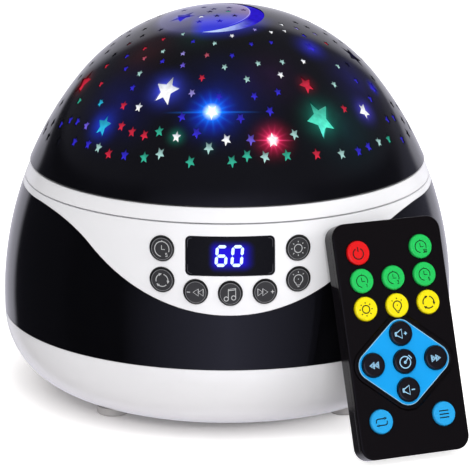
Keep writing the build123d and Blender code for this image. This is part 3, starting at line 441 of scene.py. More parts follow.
# %% Moulded finishes
# slot: colour, roughness and what departs from the usual moulding
MOULDED = {
    "white_shell": ((246, 246, 249), 0.22, {"drift": 0.02, "edge": 0.3}),
    "black_band": ((9, 9, 12), 0.1, {"level": 0.35, "edge": 0.2, "peel": 0.01}),
    "display_black": ((20, 20, 26), 0.5, {}),
    "switch_black": ((24, 24, 25), 0.55, {}),
    "gear_white": ((236, 234, 226), 0.45, {}),
    "lamp_white": ((246, 246, 244), 0.7, {}),
    "speaker_dark": ((30, 30, 32), 0.75, {"peel": 0.3}),
    "foot_rubber": ((206, 203, 202), 0.6, {"level": 0.3, "peel": 0.2}),
    "remote_black": ((15, 12, 13), 0.16, {"level": 0.2, "edge": 0.35, "peel": 0.01}),
    "inlay_blue": ((14, 160, 236), 0.25, {"level": 0.3, "peel": 0.0}),
    "key_black": ((14, 10, 12), 0.08, {"peel": 0.0, "coat": 0.5}),
    "sender_dark": ((42, 20, 46), 0.1, {}),
}
KEY_COLOURS = {
    "key_red": (226, 24, 24), "key_green": (36, 198, 92), "key_yellow": (246, 229, 12),
    "key_blue": (40, 166, 232),
}
for slot, colour in KEY_COLOURS.items():
    MOULDED[slot] = (colour, 0.12, {"level": 0.4, "peel": 0.0, "coat": 0.3})
finishes = {}
for slot, (colour, gloss, more) in MOULDED.items():
    finishes[slot] = moulded(slot, tint(*colour), gloss, **more)
print("moulded finishes:", len(finishes))

# %% [markdown]
# Screws, motor case, power socket and coin cell are bare metal. They sit inside or at the back,
# so one metal serves them all: a soft cloud varies the roughness, and where the metal is brushed,
# noise that is stretched along Z gives faint streaks.

# %% Metals
STRETCH = (1.0, 1.0, 0.05)
# slot: colour, roughness and how strongly it is brushed
METALS = {
    "screw_steel": ((196, 197, 200), 0.25, 0.0), "motor_steel": ((190, 191, 194), 0.3, 0.3),
    "socket_steel": ((205, 205, 206), 0.22, 0.0), "cell_steel": ((200, 200, 198), 0.2, 0.2),
}
for slot, (colour, roughness, brushed) in METALS.items():
    steel = Finish(slot)
    stretched = steel.node("ShaderNodeMapping", {}, {"Vector": steel.place(), "Scale": STRETCH})
    streak = steel.node("ShaderNodeTexNoise", {}, {"Vector": stretched, "Scale": 2500.0}, "Fac")
    cloud = steel.noise(150.0)
    finishes[slot] = steel.cover({
        "Base Color": steel.blend(cloud, dimmed(tint(*colour), 0.85), tint(*colour)), "Metallic": 1.0,
        "Roughness": cloud * 0.12 + roughness, "Normal": steel.skin(streak, brushed, 0.05 * MM)})
print("metals:", ", ".join(METALS))

# %% [markdown]
# Circuit boards are green lacquer over copper: the tracks show as slightly lighter, raised lines.
# A brick pattern gives straight tracks at a board's scale without drawing a circuit.

# %% Circuit board
TRACK_SCALE = 400.0
lacquer = Finish("circuit_green")
tracks = lacquer.node("ShaderNodeTexBrick", {"offset": 0.5, "squash": 0.6}, {
    "Vector": lacquer.place(), "Scale": TRACK_SCALE, "Mortar Size": 0.03, "Color1": (0, 0, 0, 1),
    "Color2": (0, 0, 0, 1), "Mortar": WHITE}, "Fac")
finishes["circuit_green"] = lacquer.cover({
    "Base Color": lacquer.blend(tracks, tint(22, 92, 50), tint(60, 140, 80)), "Roughness": 0.32,
    "Normal": lacquer.skin(tracks, 0.3, 0.05 * MM)})
print("tracks every", round(1 / TRACK_SCALE / MM, 1), "mm")

# %% [markdown]
# The lamp's diodes are small packages with a pale lens over a yellow core. A cloud that is finer
# than a package mixes both colours, and a weak emission shows them lit without lighting the room.

# %% Light-emitting packages
package = Finish("led_yellow")
cloud = package.noise(700.0)
finishes["led_yellow"] = package.cover({
    "Base Color": package.blend(cloud, tint(240, 214, 110), tint(250, 238, 190)), "Roughness": 0.2,
    "Emission Color": package.blend(cloud, tint(255, 236, 190), tint(255, 250, 235)),
    "Emission Strength": 0.6})
print("plain finishes:", len(finishes))

# %% [markdown]
# ## Where the stars are
# The dome's pattern is a scatter of five-pointed stars in loose rows. Each row is written as its
# surface angle from the top, the size of its stars, and the azimuths at which the light behind
# them shows in each colour. The moulding repeats after half a turn, so the rows are used twice.
# The stars are taller than wide, and near the front middle they stand on one point. Sines of the
# azimuth scatter and roll them: that looks like chance, and yet comes out the same each time.

# %% Star rows
LIT = {
    "blue": tint(50, 40, 214), "violet": tint(112, 92, 224), "lilac": tint(164, 152, 236),
    "ice": tint(176, 222, 216), "white": (1.25, 1.32, 1.5, 1.0), "teal": tint(52, 188, 156),
    "cyan": tint(40, 190, 232), "aqua": tint(88, 246, 212), "flare": (9.0, 9.0, 9.0, 1.0),
    "red": tint(220, 36, 62), "rose": tint(196, 84, 104), "ember": tint(104, 26, 34), "dark": tint(7, 7, 10),
}
# surface angle from the top, radius, and the azimuths of each light
STAR_ROWS = [
    (59.2, 1.6, {"blue": (-57, -50, -34, 44, 49, 70), "ice": (-45, -22, 11, 37, 55), "red": (-40, 28),
                  "teal": (-27, -12, 0.7, 5.4, 18, 61), "dark": (-84, -76, -66, 78, 86)}),
    (55.6, 1.55, {"blue": (-71, -66, -61, -11, 67, 73), "violet": (-55, 7), "red": (-39, -34, -29),
                  "teal": (-24,), "white": (-1,), "ice": (22,), "dark": (-86, -79, 81, 88)}),
    (52.0, 1.45, {"teal": (-68,), "cyan": (-54,), "red": (-42, 46), "white": (-35,),
                  "blue": (-28, -17, 4, 15, 64), "dark": (-84, 80, 87)}),
    (46.0, 1.25, {"blue": (-68, -42, -4, 10, 20, 63, 72), "lilac": (-15,), "red": (-61,), "ice": (48,),
                  "dark": (-85, 80)}),
    (40.3, 1.2, {"ember": (-76,), "red": (-68, -12, 74), "blue": (-53,), "ice": (-43, 8, 59), "white": (24,),
                  "dark": (-86, 67)}),
    (35.4, 1.12, {"dark": (-82, -71, 76), "blue": (-60, -35), "violet": (-23,), "ice": (-2, 15, 28),
                 "white": (40,), "rose": (-47,)}),
    (30.8, 1.06, {"ember": (-70,), "red": (-53, 70), "ice": (-39,), "lilac": (-26,), "rose": (-12,),
                  "blue": (2,), "dark": (-88, 82)}),
    (26.2, 1.02, {"red": (-47,), "blue": (-24, 15, 29, 60), "ice": (-9,), "lilac": (73,),
                  "dark": (-68, -84, 86)}),
    (22.3, 1.0, {"white": (3, 36, 49), "ice": (-36,), "dark": (-60, -78, 78), "lilac": (64,)}),
    (19.0, 1.0, {"lilac": (24,), "white": (56,), "dark": (76,)}),
]
SCATTER_ACROSS = 0.55
SCATTER_ROLL = 12.0
ON_POINT_ROLL, ON_POINT_MIDDLE, ON_POINT_SPAN = 36.0, -8.0, 26.0
DROOP, DROOP_AZIMUTH = 2.0, 70.0
STAR_TALL = 1.36
LOWEST_STAR = 61.0
stars = []
for row, (polar, radius, lights) in enumerate(STAR_ROWS):
    for azimuth, light in [(azimuth, light) for light, azimuths in lights.items() for azimuth in azimuths]:
        wobble = polar + SCATTER_ACROSS * math.sin(0.9 * azimuth + 2 * row)
        droop = DROOP * (azimuth / DROOP_AZIMUTH) ** 4
        on_point = math.exp(-((azimuth - ON_POINT_MIDDLE) / ON_POINT_SPAN) ** 2)
        roll = ON_POINT_ROLL * on_point + SCATTER_ROLL * math.sin(1.7 * azimuth + row)
        for half_turn in (0, 180):
            stars.append((azimuth + half_turn, min(wobble + droop, LOWEST_STAR), radius, roll, light))
print("small stars:", len(stars))

# %% [markdown]
# The large stars carry the picture: they are wide enough to show the cut wall, and the light
# spills from them over the dark shell. Each has a colour for the spill and how far it reaches.

# %% Large stars
# azimuth, polar angle, radius, roll, light, colour of the spill, reach of the spill
LARGE_STARS = [
    (-26.0, 45.3, 4.2, -6, "white", tint(66, 80, 238), 9.5),
    (-47.0, 55.8, 3.1, -2, "cyan", tint(30, 62, 226), 8.5),
    (33.8, 53.8, 5.0, 18, "aqua", tint(18, 124, 104), 10.0),
    (34.0, 44.3, 2.6, 14, "red", tint(116, 14, 28), 5.0),
    (55.6, 54.2, 2.7, 22, "white", tint(84, 74, 226), 7.0),
    (-6.3, 51.4, 2.0, 36, "flare", tint(20, 70, 255), 14.0),
    (14.2, 56.4, 1.9, 0, "flare", tint(255, 40, 96), 9.0),
    (-6.6, 57.4, 1.6, 36, "ice", tint(10, 60, 56), 3.5),
    (-17.6, 55.9, 1.5, 0, "white", tint(20, 130, 106), 4.6),
    (-75.0, 50.0, 3.8, 10, "red", tint(100, 14, 16), 7.0),
    (-64.0, 14.6, 3.4, 20, "blue", tint(44, 40, 190), 5.0),
    (53.0, 31.8, 2.0, 25, "blue", tint(50, 50, 210), 9.0),
    (72.0, 51.5, 2.2, 12, "blue", tint(40, 36, 190), 4.0),
    (82.0, 41.0, 3.6, 15, "dark", tint(20, 16, 60), 3.0),
    (105.0, 52.0, 3.8, 0, "blue", tint(40, 36, 190), 6.0),
    (130.0, 43.0, 4.4, 20, "white", tint(40, 60, 255), 8.0),
    (155.0, 52.0, 4.9, 40, "teal", tint(16, 150, 120), 8.0),
    (180.0, 43.0, 3.8, 60, "red", tint(130, 10, 20), 5.0),
    (205.0, 52.0, 4.3, 8, "cyan", tint(24, 48, 240), 7.0),
    (230.0, 43.0, 4.9, 28, "blue", tint(44, 40, 190), 7.0),
    (255.0, 52.0, 3.8, 48, "white", tint(40, 60, 255), 6.0),
]
STAR_SPACING = 0.1


def clear_of_large(azimuth, polar, radius, *_):
    """Whether the large stars leave room for a small one."""
    place = dome_place(azimuth, polar).translation
    for large_azimuth, large_polar, large_radius, *_ in LARGE_STARS:
        gap = (dome_place(large_azimuth, large_polar).translation - place).length / MM
        if gap < (large_radius + radius) * STAR_TALL + STAR_SPACING:
            return False
    return True


stars = [star for star in stars if clear_of_large(*star)]
stars += [large[:5] for large in LARGE_STARS]
print("stars in all:", len(stars))

# %% [markdown]
# Beside the crescent a dozen small stars lie near the top, where azimuths run together, so they
# are placed in plan instead. Each star is then one hole: a matrix on the dome, the star's shape,
# its light, and how deep the lit pad behind it lies. Larger stars have deeper pads.

# %% All holes
# place in plan and light
MOON_STARS = [(-7.1, 0.9, "dark"), (-4.1, -2.8, "dark"), (0.6, -1.7, "dark"), (5.0, -3.8, "dark"),
              (-5.3, -5.4, "dark"), (0.3, -5.9, "teal"), (-8.0, -9.1, "white"), (-3.2, -9.8, "dark"),
              (2.2, -9.8, "dark"), (-8.6, -13.0, "blue"), (-2.4, -13.9, "blue"), (-13.2, 1.5, "dark")]
MOON_STAR_R = 1.35
MOON_STAR_DEPTH = 0.25
PAD_DEPTH, DEPTH_BY_RADIUS = 0.12, 0.12


def on_crown(x, y, inset=0.0):
    """The point of the crown over a place in plan."""
    return Vector((x, y, CROWN_Z + math.sqrt((CROWN_R - inset) ** 2 - x**2 - y**2)))


# matrix, radius, roll, stretch, light and depth of the pad
holes = []
for azimuth, polar, radius, roll, light in stars:
    depth = DEPTH_BY_RADIUS * radius + PAD_DEPTH
    holes.append((dome_place(azimuth, polar), radius * MM, roll, STAR_TALL, light, depth * MM))
for x, y, light in MOON_STARS:
    matrix = Matrix.Translation(on_crown(x * MM, y * MM))
    holes.append((matrix, MOON_STAR_R * MM, 0.0, 1.0, light, MOON_STAR_DEPTH * MM))
print("holes:", len(holes))

# %% [markdown]
# ## The star dome
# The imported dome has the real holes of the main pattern. The picture needs the whole scatter, so
# the shell is turned again, finer, and all stars are cut from it at once with a Boolean. Its
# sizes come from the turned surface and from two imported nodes: where the dome's skirt ends, and
# where the ring under it stops.

# %% Sizes of the shell
DOME_T = 1.3 * MM
SKIRT_T = 1.4 * MM
SKIRT_INSET, SKIRT_LAP = 2.15 * MM, 3.2 * MM
EDGE_ROUND = 0.6 * MM
EDGE_GAP = 0.2 * MM
LIP_INSET = 1.2 * EDGE_ROUND
LIP_END = -0.35
DOME_STEPS = 192
INSET = DOME_T - DOME_PROUD
SKIRT_LOW_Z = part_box("star_dome")[0].z
EDGE_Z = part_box("dome_ring")[1].z + EDGE_GAP
EDGE_R = flank_radius(EDGE_Z, DOME_PROUD)
SKIRT_R = flank_radius(EDGE_Z) - SKIRT_INSET
SKIRT_HIGH_Z = EDGE_Z + SKIRT_LAP
print("edge of the dome at", round(EDGE_Z / MM, 1), "mm, radius", round(EDGE_R / MM, 1), "mm")

# %% [markdown]
# The profile goes once round the wall: the rounded lip over the ring, the outer skin, the inner
# skin and the skirt. A spin with merged ends turns it into a closed shell without a seam.


# %% Turn the shell
def arc_points(centre_x, centre_z, radius, start, stop, steps):
    """Places along an arc in the profile plane, from one angle to another."""
    return [(centre_x + radius * math.cos(start + (stop - start) * k / steps),
             centre_z + radius * math.sin(start + (stop - start) * k / steps)) for k in range(steps + 1)]


def side(inset, low_z, flank_steps, crown_steps):
    """The turned surface in profile, inset by a wall, from a height up to the top."""
    start = math.asin((low_z - WAIST_Z) / (FLANK_R - inset))
    flank = arc_points(FLANK_X, WAIST_Z, FLANK_R - inset, start, MEET, flank_steps)
    return flank + arc_points(0, CROWN_Z, CROWN_R - inset, MEET, math.pi / 2, crown_steps)[1:]


def turned(profile, steps):
    """Spins a closed profile in the X Z plane once round the axis."""
    bm = bmesh.new()
    ring = [bm.verts.new((x, 0, z)) for x, z in profile]
    edges = [bm.edges.new(pair) for pair in zip(ring, ring[1:] + ring[:1])]
    bmesh.ops.spin(bm, geom=ring + edges, cent=(0, 0, 0), axis=(0, 0, 1), angle=2 * math.pi, steps=steps,
                   use_merge=True)
    bmesh.ops.remove_doubles(bm, verts=bm.verts, dist=1e-7)
    bmesh.ops.recalc_face_normals(bm, faces=bm.faces)
    return bm


lip = arc_points(EDGE_R - LIP_INSET, EDGE_Z + EDGE_ROUND, EDGE_ROUND, -math.pi / 2, LIP_END, steps=5)
outer = side(-DOME_PROUD, EDGE_Z + EDGE_ROUND, flank_steps=16, crown_steps=26)
inner = side(INSET, SKIRT_HIGH_Z, flank_steps=10, crown_steps=20)[::-1]
skirt = [(SKIRT_R - SKIRT_T, SKIRT_HIGH_Z), (SKIRT_R - SKIRT_T, SKIRT_LOW_Z), (SKIRT_R, SKIRT_LOW_Z),
         (SKIRT_R, EDGE_Z)]
dome = to_object("star_dome_shell", turned(lip + outer + inner + skirt, DOME_STEPS))
print("shell faces:", len(dome.data.polygons))

# %% [markdown]
# A star-shaped punch goes through the wall at each hole. Its two ends are faces on ten points,
# and bridging their rims closes the sides, so that no side face is written out by hand.

# %% Punches
PUNCH_REACH = 2.2 * DOME_T
STAR_WAIST = 0.46


def star_outline(radius, roll, tall):
    """Ten corners of a five-pointed star, rolled from one point up and then stretched upwards."""
    corners = []
    for k in range(10):
        reach, turn = radius * (STAR_WAIST if k % 2 else 1.0), math.radians(90 + 36 * k + roll)
        corners.append(Vector((reach * math.cos(turn), reach * tall * math.sin(turn), 0)))
    return corners


def prism(bm, low, high):
    """Bridges faces on two loops of points to a closed prism; returns the high loop and its face."""
    loops = [[bm.verts.new(point) for point in loop] for loop in (low, high)]
    ends = [bm.faces.new(loop) for loop in loops]
    rims = [edge for end in ends for edge in end.edges]
    bmesh.ops.bridge_loops(bm, edges=rims)
    return loops[1], ends[1]


punch_mesh = bmesh.new()
deep = Vector((0, 0, PUNCH_REACH))
for matrix, radius, roll, tall, *_ in holes:
    corners = star_outline(radius, roll, tall)
    prism(punch_mesh, [matrix @ (corner - deep) for corner in corners],
          [matrix @ (corner + deep) for corner in corners])
bmesh.ops.recalc_face_normals(punch_mesh, faces=punch_mesh.faces)
punches = to_object("star_punches", punch_mesh)
print("punches:", len(holes), "with", len(punches.data.polygons), "faces")

# %% [markdown]
# All punches are one mesh, so a single Boolean cuts every star. The crescent is cut with a drum
# that has a second drum bitten out of it. The manifold solver is the fastest one. It asks for
# closed meshes with normals that point outwards, and shell, punches and drums are all like that.

# %% Cut the stars and the crescent
MOON, MOON_R = Vector((-3.0, -6.3, 0)) * MM, 14.3 * MM
BITE, BITE_R = Vector((-6.7, -5.3, 0)) * MM, 13.75 * MM
DRUM_STEPS = 128


def drum(name, centre, radius, low, high):
    bm = bmesh.new()
    bmesh.ops.create_cone(bm, cap_ends=True, segments=DRUM_STEPS, radius1=radius, radius2=radius,
                          depth=high - low)
    bmesh.ops.translate(bm, vec=centre + Vector((0, 0, (low + high) / 2)), verts=bm.verts)
    return to_object(name, bm)


def cut(piece, tool):
    """Cuts a tool out of a piece and removes the tool."""
    modifier = piece.modifiers.new("cut", "BOOLEAN")
    modifier.solver = "MANIFOLD"
    modifier.object = tool
    bpy.context.view_layer.update()
    mesh = bpy.data.meshes.new_from_object(piece.evaluated_get(bpy.context.evaluated_depsgraph_get()))
    piece.modifiers.clear()
    piece.data = mesh
    bpy.data.objects.remove(tool)


crescent = drum("crescent", MOON, MOON_R, CROWN_Z + CROWN_R / 2, CROWN_Z + 1.5 * CROWN_R)
cut(crescent, drum("bite", BITE, BITE_R, CROWN_Z, CROWN_Z + 2 * CROWN_R))
cut(dome, punches)
cut(dome, crescent)
print("dome faces:", len(dome.data.polygons))

# %% [markdown]
# The faces that a Boolean leaves are uneven, and on black gloss that would show as ripples. So
# the outer and inner skins get the exact normals of the turned surface, and only the cut walls
# keep the normals of their own faces.

# %% Give the skin its true normals
SKIN_TOLERANCE = math.cos(math.radians(7))


def turned_normal(point):
    """The outward normal of the turned surface nearest to a point."""
    reach = math.hypot(point.x, point.y)
    rise = math.atan2(point.z - WAIST_Z, reach - FLANK_X)
    if rise > MEET:
        rise = math.atan2(point.z - CROWN_Z, reach)
    level = max(reach, 1e-9)
    return Vector((point.x / level * math.cos(rise), point.y / level * math.cos(rise), math.sin(rise)))


def true_normals(mesh):
    """Faces that follow the turned surface take its normals; all others keep their own."""
    normals = []
    for face in mesh.polygons:
        along = face.normal.dot(turned_normal(face.center))
        for vertex in face.vertices:
            if abs(along) > SKIN_TOLERANCE:
                normals.append(turned_normal(mesh.vertices[vertex].co) * math.copysign(1, along))
            else:
                normals.append(face.normal.copy())
    mesh.normals_split_custom_set(normals)


true_normals(dome.data)
print("normals set on", len(dome.data.loops), "corners")

# %% [markdown]
# ## The light on the shell
# The shell is dark tinted plastic, and all the light on it is painted glow. Light from the large
# stars is painted as a spill over it, and fainter clouds of painted glow lie between them. The
# shell's emission is the sum of such soft spots, each a colour that fades with the distance from a
# place on the dome. A slow noise keeps them from looking like clean discs. They are in the shell's
# own coordinates, so they turn with it.

# %% Spill and clouds
SPILL_FROM, SPILL_FADE, SPILL = 0.5, 3.6, 0.62
CLOUD_FADE, CLOUD_GLOW = 2.0, 0.35
PATCHES, PATCH_DIMMEST, PATCH_SPAN = 170.0, 0.4, 1.1
# azimuth, polar angle, colour and reach of the faint clouds of painted glow
GLOW_CLOUDS = [(-50.0, 33.0, tint(70, 22, 20), 15.0), (-24.0, 22.0, tint(14, 62, 52), 12.0),
          (-44.0, 52.0, tint(20, 24, 120), 20.0), (-2.0, 47.0, tint(14, 30, 130), 22.0),
          (42.0, 56.0, tint(10, 60, 66), 20.0), (62.0, 47.0, tint(34, 30, 130), 16.0),
          (20.0, 40.0, tint(50, 16, 60), 16.0)]
shell = Finish("dome_black")
on_shell = shell.place()
patches = shell.noise(PATCHES, 3.0) * PATCH_SPAN + PATCH_DIMMEST
spills = []
for azimuth, polar, radius, _, _, colour, reach in LARGE_STARS:
    away = on_shell.distance(dome_place(azimuth, polar).translation)
    fade = (away - SPILL_FROM * radius * MM).fades(reach * MM) ** SPILL_FADE * SPILL
    spills.append((fade * patches).times(colour))
for azimuth, polar, colour, reach in GLOW_CLOUDS:
    away = on_shell.distance(dome_place(azimuth, polar).translation)
    spills.append((away.fades(reach * MM) ** CLOUD_FADE * patches * CLOUD_GLOW).times(colour))
print("spots of light:", len(spills))

# %% [markdown]
# Two small stars shine so brightly that a flare is painted round each on the shell. Rays turn round
# each of them, a level streak crosses it, and its core fades in three layers from white to its
# colour. The angle for the rays comes from the star's own two axes on the dome.

# %% Flares
RAY_PAIRS, RAY_TURN, RAY_SHARP = 7, 0.5, 7.0
RAY_REACH, RAY_FADE, RAY_LIGHT = 8.5, 1.8, 0.55
STREAK_REACH, STREAK_HALF, STREAK_FADE, STREAK_LIGHT = 15.0, 0.4, 1.5, 0.9
STREAK_UP = (0.0, 0.267, 0.964)
# reach, exponent and colour of the layers of a core, from the middle outwards
BLUE_CORE = [(3.0, 1.3, (1.5, 1.5, 1.5)), (5.2, 2.0, (0.0, 0.55, 1.0)), (9.0, 2.2, (0.0, 0.03, 0.8))]
PINK_CORE = [(3.0, 1.3, (1.5, 1.5, 1.5)), (4.6, 2.0, (1.0, 0.12, 0.3)), (8.0, 2.4, (0.5, 0.0, 0.06))]
# azimuth, polar angle, size, colour of the rays and layers of the core
FLARES = [(-6.3, 51.4, 1.0, tint(0, 130, 255), BLUE_CORE), (14.2, 56.4, 0.7, tint(255, 70, 130), PINK_CORE)]
for azimuth, polar, size, ray_colour, core in FLARES:
    matrix = dome_place(azimuth, polar)
    offset = on_shell.vectors("SUBTRACT", matrix.translation)
    away = on_shell.distance(matrix.translation)
    across, along = offset.dot(matrix.col[0].xyz), offset.dot(matrix.col[1].xyz)
    turn = along.maths("ARCTAN2", across) * RAY_PAIRS + RAY_TURN
    rays = abs(turn.maths("COSINE")) ** RAY_SHARP * away.fades(RAY_REACH * size * MM) ** RAY_FADE
    level = abs(offset.dot(STREAK_UP)).fades(STREAK_HALF * size * MM)
    streak = level * abs(across).fades(STREAK_REACH * size * size * MM) ** STREAK_FADE
    spills.append((rays * RAY_LIGHT + streak * STREAK_LIGHT).times(ray_colour))
    for core_reach, exponent, core_colour in core:
        spills.append((away.fades(core_reach * size * MM) ** exponent).times(core_colour))
print("spots with flares:", len(spills))

# %% [markdown]
# Inside the crescent the moon's dark side is painted on the shell as a glowing disc, lavender
# towards the back and blue in front, with a painted pale line of light along the crescent's inner
# edge and a painted blue glow below its outer one.
# All of it is masked by plain distances in plan, and kept to the top of the dome.

# %% Disc of the moon
DISC_FADE = 5.0 * MM
RIM_LINE = 0.16 * MM
sideways, forwards = on_shell.dot((1, 0, 0)), on_shell.dot((0, -1, 0))
in_plan = on_shell.vectors("MULTIPLY", (1, 1, 0))
off_bite, off_moon = in_plan.distance(BITE), in_plan.distance(MOON)
above = on_shell.dot((0, 0, 1)).grows(CROWN_Z, CROWN_Z + 5 * MM)
right_side = sideways.grows(-1 * MM, 8 * MM)
front = forwards.grows(7 * MM, 14 * MM) * sideways.grows(-11.5 * MM, -7.5 * MM)
lavender = shell.blend(right_side, tint(74, 72, 112), tint(104, 70, 140))
disc_colour = shell.blend(front, lavender, tint(34, 32, 172))
# painted glow on the shell: the disc, its front glow and the pale rim line
spills.append(((off_bite - BITE_R).fades(DISC_FADE) ** 3.0 * above).times(disc_colour))
spills.append(((off_moon - MOON_R).fades(DISC_FADE) ** 2.0 * front * above).times(tint(30, 34, 132)))
rim_glow_line = abs(off_bite - (BITE_R - RIM_LINE)).fades(RIM_LINE)
spills.append((rim_glow_line * right_side * above).times(tint(170, 170, 240)))
print("spots in all:", len(spills))

# %% [markdown]
# ## Dressing a piece
# Every new piece is handed to one function, which gives it a finish in a material slot, a body to
# ride on, and where it stands for an imported node, hides that node. The dome is the first.


# %% Dress the dome
def dress(piece, body, slot, material, *replaced):
    """Puts a finished piece on its body, in place of the nodes that it stands for, and hides those; slot is not
    used.
    """
    piece.data.materials.clear()
    piece.data.materials.append(material)
    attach(piece, body)
    if replaced:
        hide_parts(*replaced)


light_sum = spills[0]
for spill in spills[1:]:
    light_sum = light_sum.vectors("ADD", spill)
slow = shell.noise(40.0, 3.0)
dress(dome, "dome", "dome_black", shell.cover({
    "Base Color": shell.blend(slow, tint(10, 10, 13), tint(16, 16, 21)), "Roughness": slow * 0.04 + 0.1,
    "Specular IOR Level": 0.35, "Normal": shell.skin(shell.noise(1200.0), 0.008, PEEL_DEPTH),
    "Emission Color": light_sum, "Emission Strength": 1.0}), "star_dome")
print("dome dressed")

# %% [markdown]
# ## The lit lining
# Behind the shell lies a translucent lining that the lamp lights from inside. Its crescent and
# the floor of the large holes show directly. The colours are stored on the points as an
# attribute, because they belong to the piece and turn with it: the crescent goes from a pale
# left to a deep blue right, and the rest is dark.

# %% Lining
LINER_GAP = 0.15 * MM
LINER_T = 0.9 * MM
LINER_STEPS = 288
LINER_LOW_Z = SKIRT_HIGH_Z + 0.1 * MM
MOON_PALE, MOON_DEEP = tint(190, 212, 255), tint(34, 6, 196)
PALE_X, DEEP_X = -1.5, 6.0
liner_inset = INSET + LINER_GAP
skin = side(liner_inset, LINER_LOW_Z, flank_steps=22, crown_steps=44)
back = side(liner_inset + LINER_T, LINER_LOW_Z, flank_steps=8, crown_steps=12)[::-1]
lining_mesh = turned(skin + back, LINER_STEPS)


def light_behind(point):
    """The colour of the lining at a point: the crescent's gradient, and dark elsewhere."""
    in_plan = Vector((point.x, point.y, 0))
    if point.z < CROWN_Z or (in_plan - MOON).length > MOON_R + MM or (in_plan - BITE).length < BITE_R - MM:
        return LIT["dark"]
    share = min(max((point.x / MM - PALE_X) / (DEEP_X - PALE_X), 0.0), 1.0)
    return tuple(pale + (deep - pale) * share for pale, deep in zip(MOON_PALE, MOON_DEEP))


glow = lining_mesh.verts.layers.float_color.new("glow")
for vert in lining_mesh.verts:
    vert[glow] = light_behind(vert.co)
print("lining points:", len(lining_mesh.verts))

# %% [markdown]
# A small pad rises from the lining into each star, so that the star looks filled with light even
# from a low angle. Both ends of a pad lie at a depth under the curved surface. The distance to
# that surface has a formula, so a point slides down the star's axis by what is still missing, and
# three such steps bring it there.


# %% Sinking an outline
def height_over(point):
    """How far a point lies outside the turned surface."""
    reach = math.hypot(point.x, point.y)
    if math.atan2(point.z - WAIST_Z, reach - FLANK_X) > MEET:
        return math.hypot(reach, point.z - CROWN_Z) - CROWN_R
    return math.hypot(reach - FLANK_X, point.z - WAIST_Z) - FLANK_R


def sunk(matrix, corner, inset):
    """The point under a star's corner that lies inset below the turned surface."""
    point = matrix @ corner
    for _ in range(3):
        point = point - matrix.col[2].xyz * (height_over(point) + inset)
    return point


print("sunk by", round(-height_over(sunk(holes[0][0], Vector((0, 0, 0)), INSET)) / MM, 3), "mm")

# %% [markdown]
# The pad is a prism between two such outlines. Its top is poked, and its points are painted with
# shade that makes them dimmer the higher they lie in the star, for the shade of the hole's upper wall.

# %% Pads in the stars
PAD_FIT = 0.985
PAD_ROOT = 0.2 * MM
# painted shade: the light left at the top and at the bottom of a star's pad, and where its middle counts as lying
UPPER_LIGHT, LOWER_LIGHT, MIDDLE_RISE = 0.12, 1.35, -0.1


def light_with_painted_shade(light, rise):
    """The light of a pad's point, with painted shade that dims it the further up in its star it lies."""
    share = UPPER_LIGHT + (LOWER_LIGHT - UPPER_LIGHT) * (0.5 - 0.5 * rise)
    return tuple(min(1.0, share * c) for c in LIT[light])


for matrix, radius, roll, tall, light, depth in holes:
    corners = star_outline(radius * PAD_FIT, roll, tall)
    rim, top = prism(lining_mesh, [sunk(matrix, corner, liner_inset + PAD_ROOT) for corner in corners],
                     [sunk(matrix, corner, depth - DOME_PROUD) for corner in corners])
    middle = bmesh.ops.poke(lining_mesh, faces=[top])["verts"][0]
    middle.co = sunk(matrix, Vector((0, 0, 0)), depth - DOME_PROUD)
    for vert, corner in zip(rim, corners):
        vert[glow] = light_with_painted_shade(light, corner.y / (radius * tall))
    middle[glow] = light_with_painted_shade(light, MIDDLE_RISE)
print("pads raised:", len(holes))

# %% [markdown]
# The crescent's floor is raised too. Its edges are two bows that meet in the points where the
# circles cross. They are drawn once deep and once high, as chains of edges, and bridging the
# chains gives the top, the underside and the two walls.

# %% Raised floor of the crescent
MOON_STEPS = 48
MOON_FIT = 0.08 * MM
MOON_DEPTH = 0.35 * MM
moon_edge_r, bite_edge_r = MOON_R - MOON_FIT, BITE_R + MOON_FIT
between = BITE - MOON
line = between.normalized()
along_line = (moon_edge_r**2 - bite_edge_r**2 + between.length_squared) / (2 * between.length)
off_line = Vector((-line.y, line.x, 0)) * math.sqrt(moon_edge_r**2 - along_line**2)
tips = [MOON + line * along_line + off_line, MOON + line * along_line - off_line]


def crescent_chain(centre, radius, inset):
    """Edges along one bow of the floor, from its lower tip round the right to its far tip."""
    angles = [math.atan2(tip.y - centre.y, tip.x - centre.x) for tip in tips]
    sweep = (angles[1] - angles[0]) % (2 * math.pi)
    chain = []
    for k in range(MOON_STEPS + 1):
        turn = angles[0] + sweep * k / MOON_STEPS
        vert = lining_mesh.verts.new(
            on_crown(centre.x + radius * math.cos(turn), centre.y + radius * math.sin(turn), inset))
        vert[glow] = light_behind(vert.co)
        chain.append(vert)
    return [lining_mesh.edges.new(pair) for pair in zip(chain, chain[1:])]


bows = ((MOON, moon_edge_r), (BITE, bite_edge_r))
low_out, low_in = [crescent_chain(*bow_circle, liner_inset + PAD_ROOT) for bow_circle in bows]
high_out, high_in = [crescent_chain(*bow_circle, MOON_DEPTH - DOME_PROUD) for bow_circle in bows]
floor = []
for first, second in ((high_out, high_in), (low_out, low_in), (low_out, high_out), (low_in, high_in)):
    floor += bmesh.ops.bridge_loops(lining_mesh, edges=first + second)["faces"]
floor_points = list(dict.fromkeys(vert for face in floor for vert in face.verts))
bmesh.ops.remove_doubles(lining_mesh, verts=floor_points, dist=1e-6)
bmesh.ops.recalc_face_normals(lining_mesh, faces=lining_mesh.faces)
liner = to_object("lit_lining", lining_mesh, smooth=False)
print("floor faces:", len(floor), "lining points:", len(liner.data.vertices))

# %% [markdown]
# The lining is milky plastic. Its emission is the stored colour, mottled by a noise, as light
# through cloudy plastic is. It has no gloss, so that no studio light mixes into its colours.

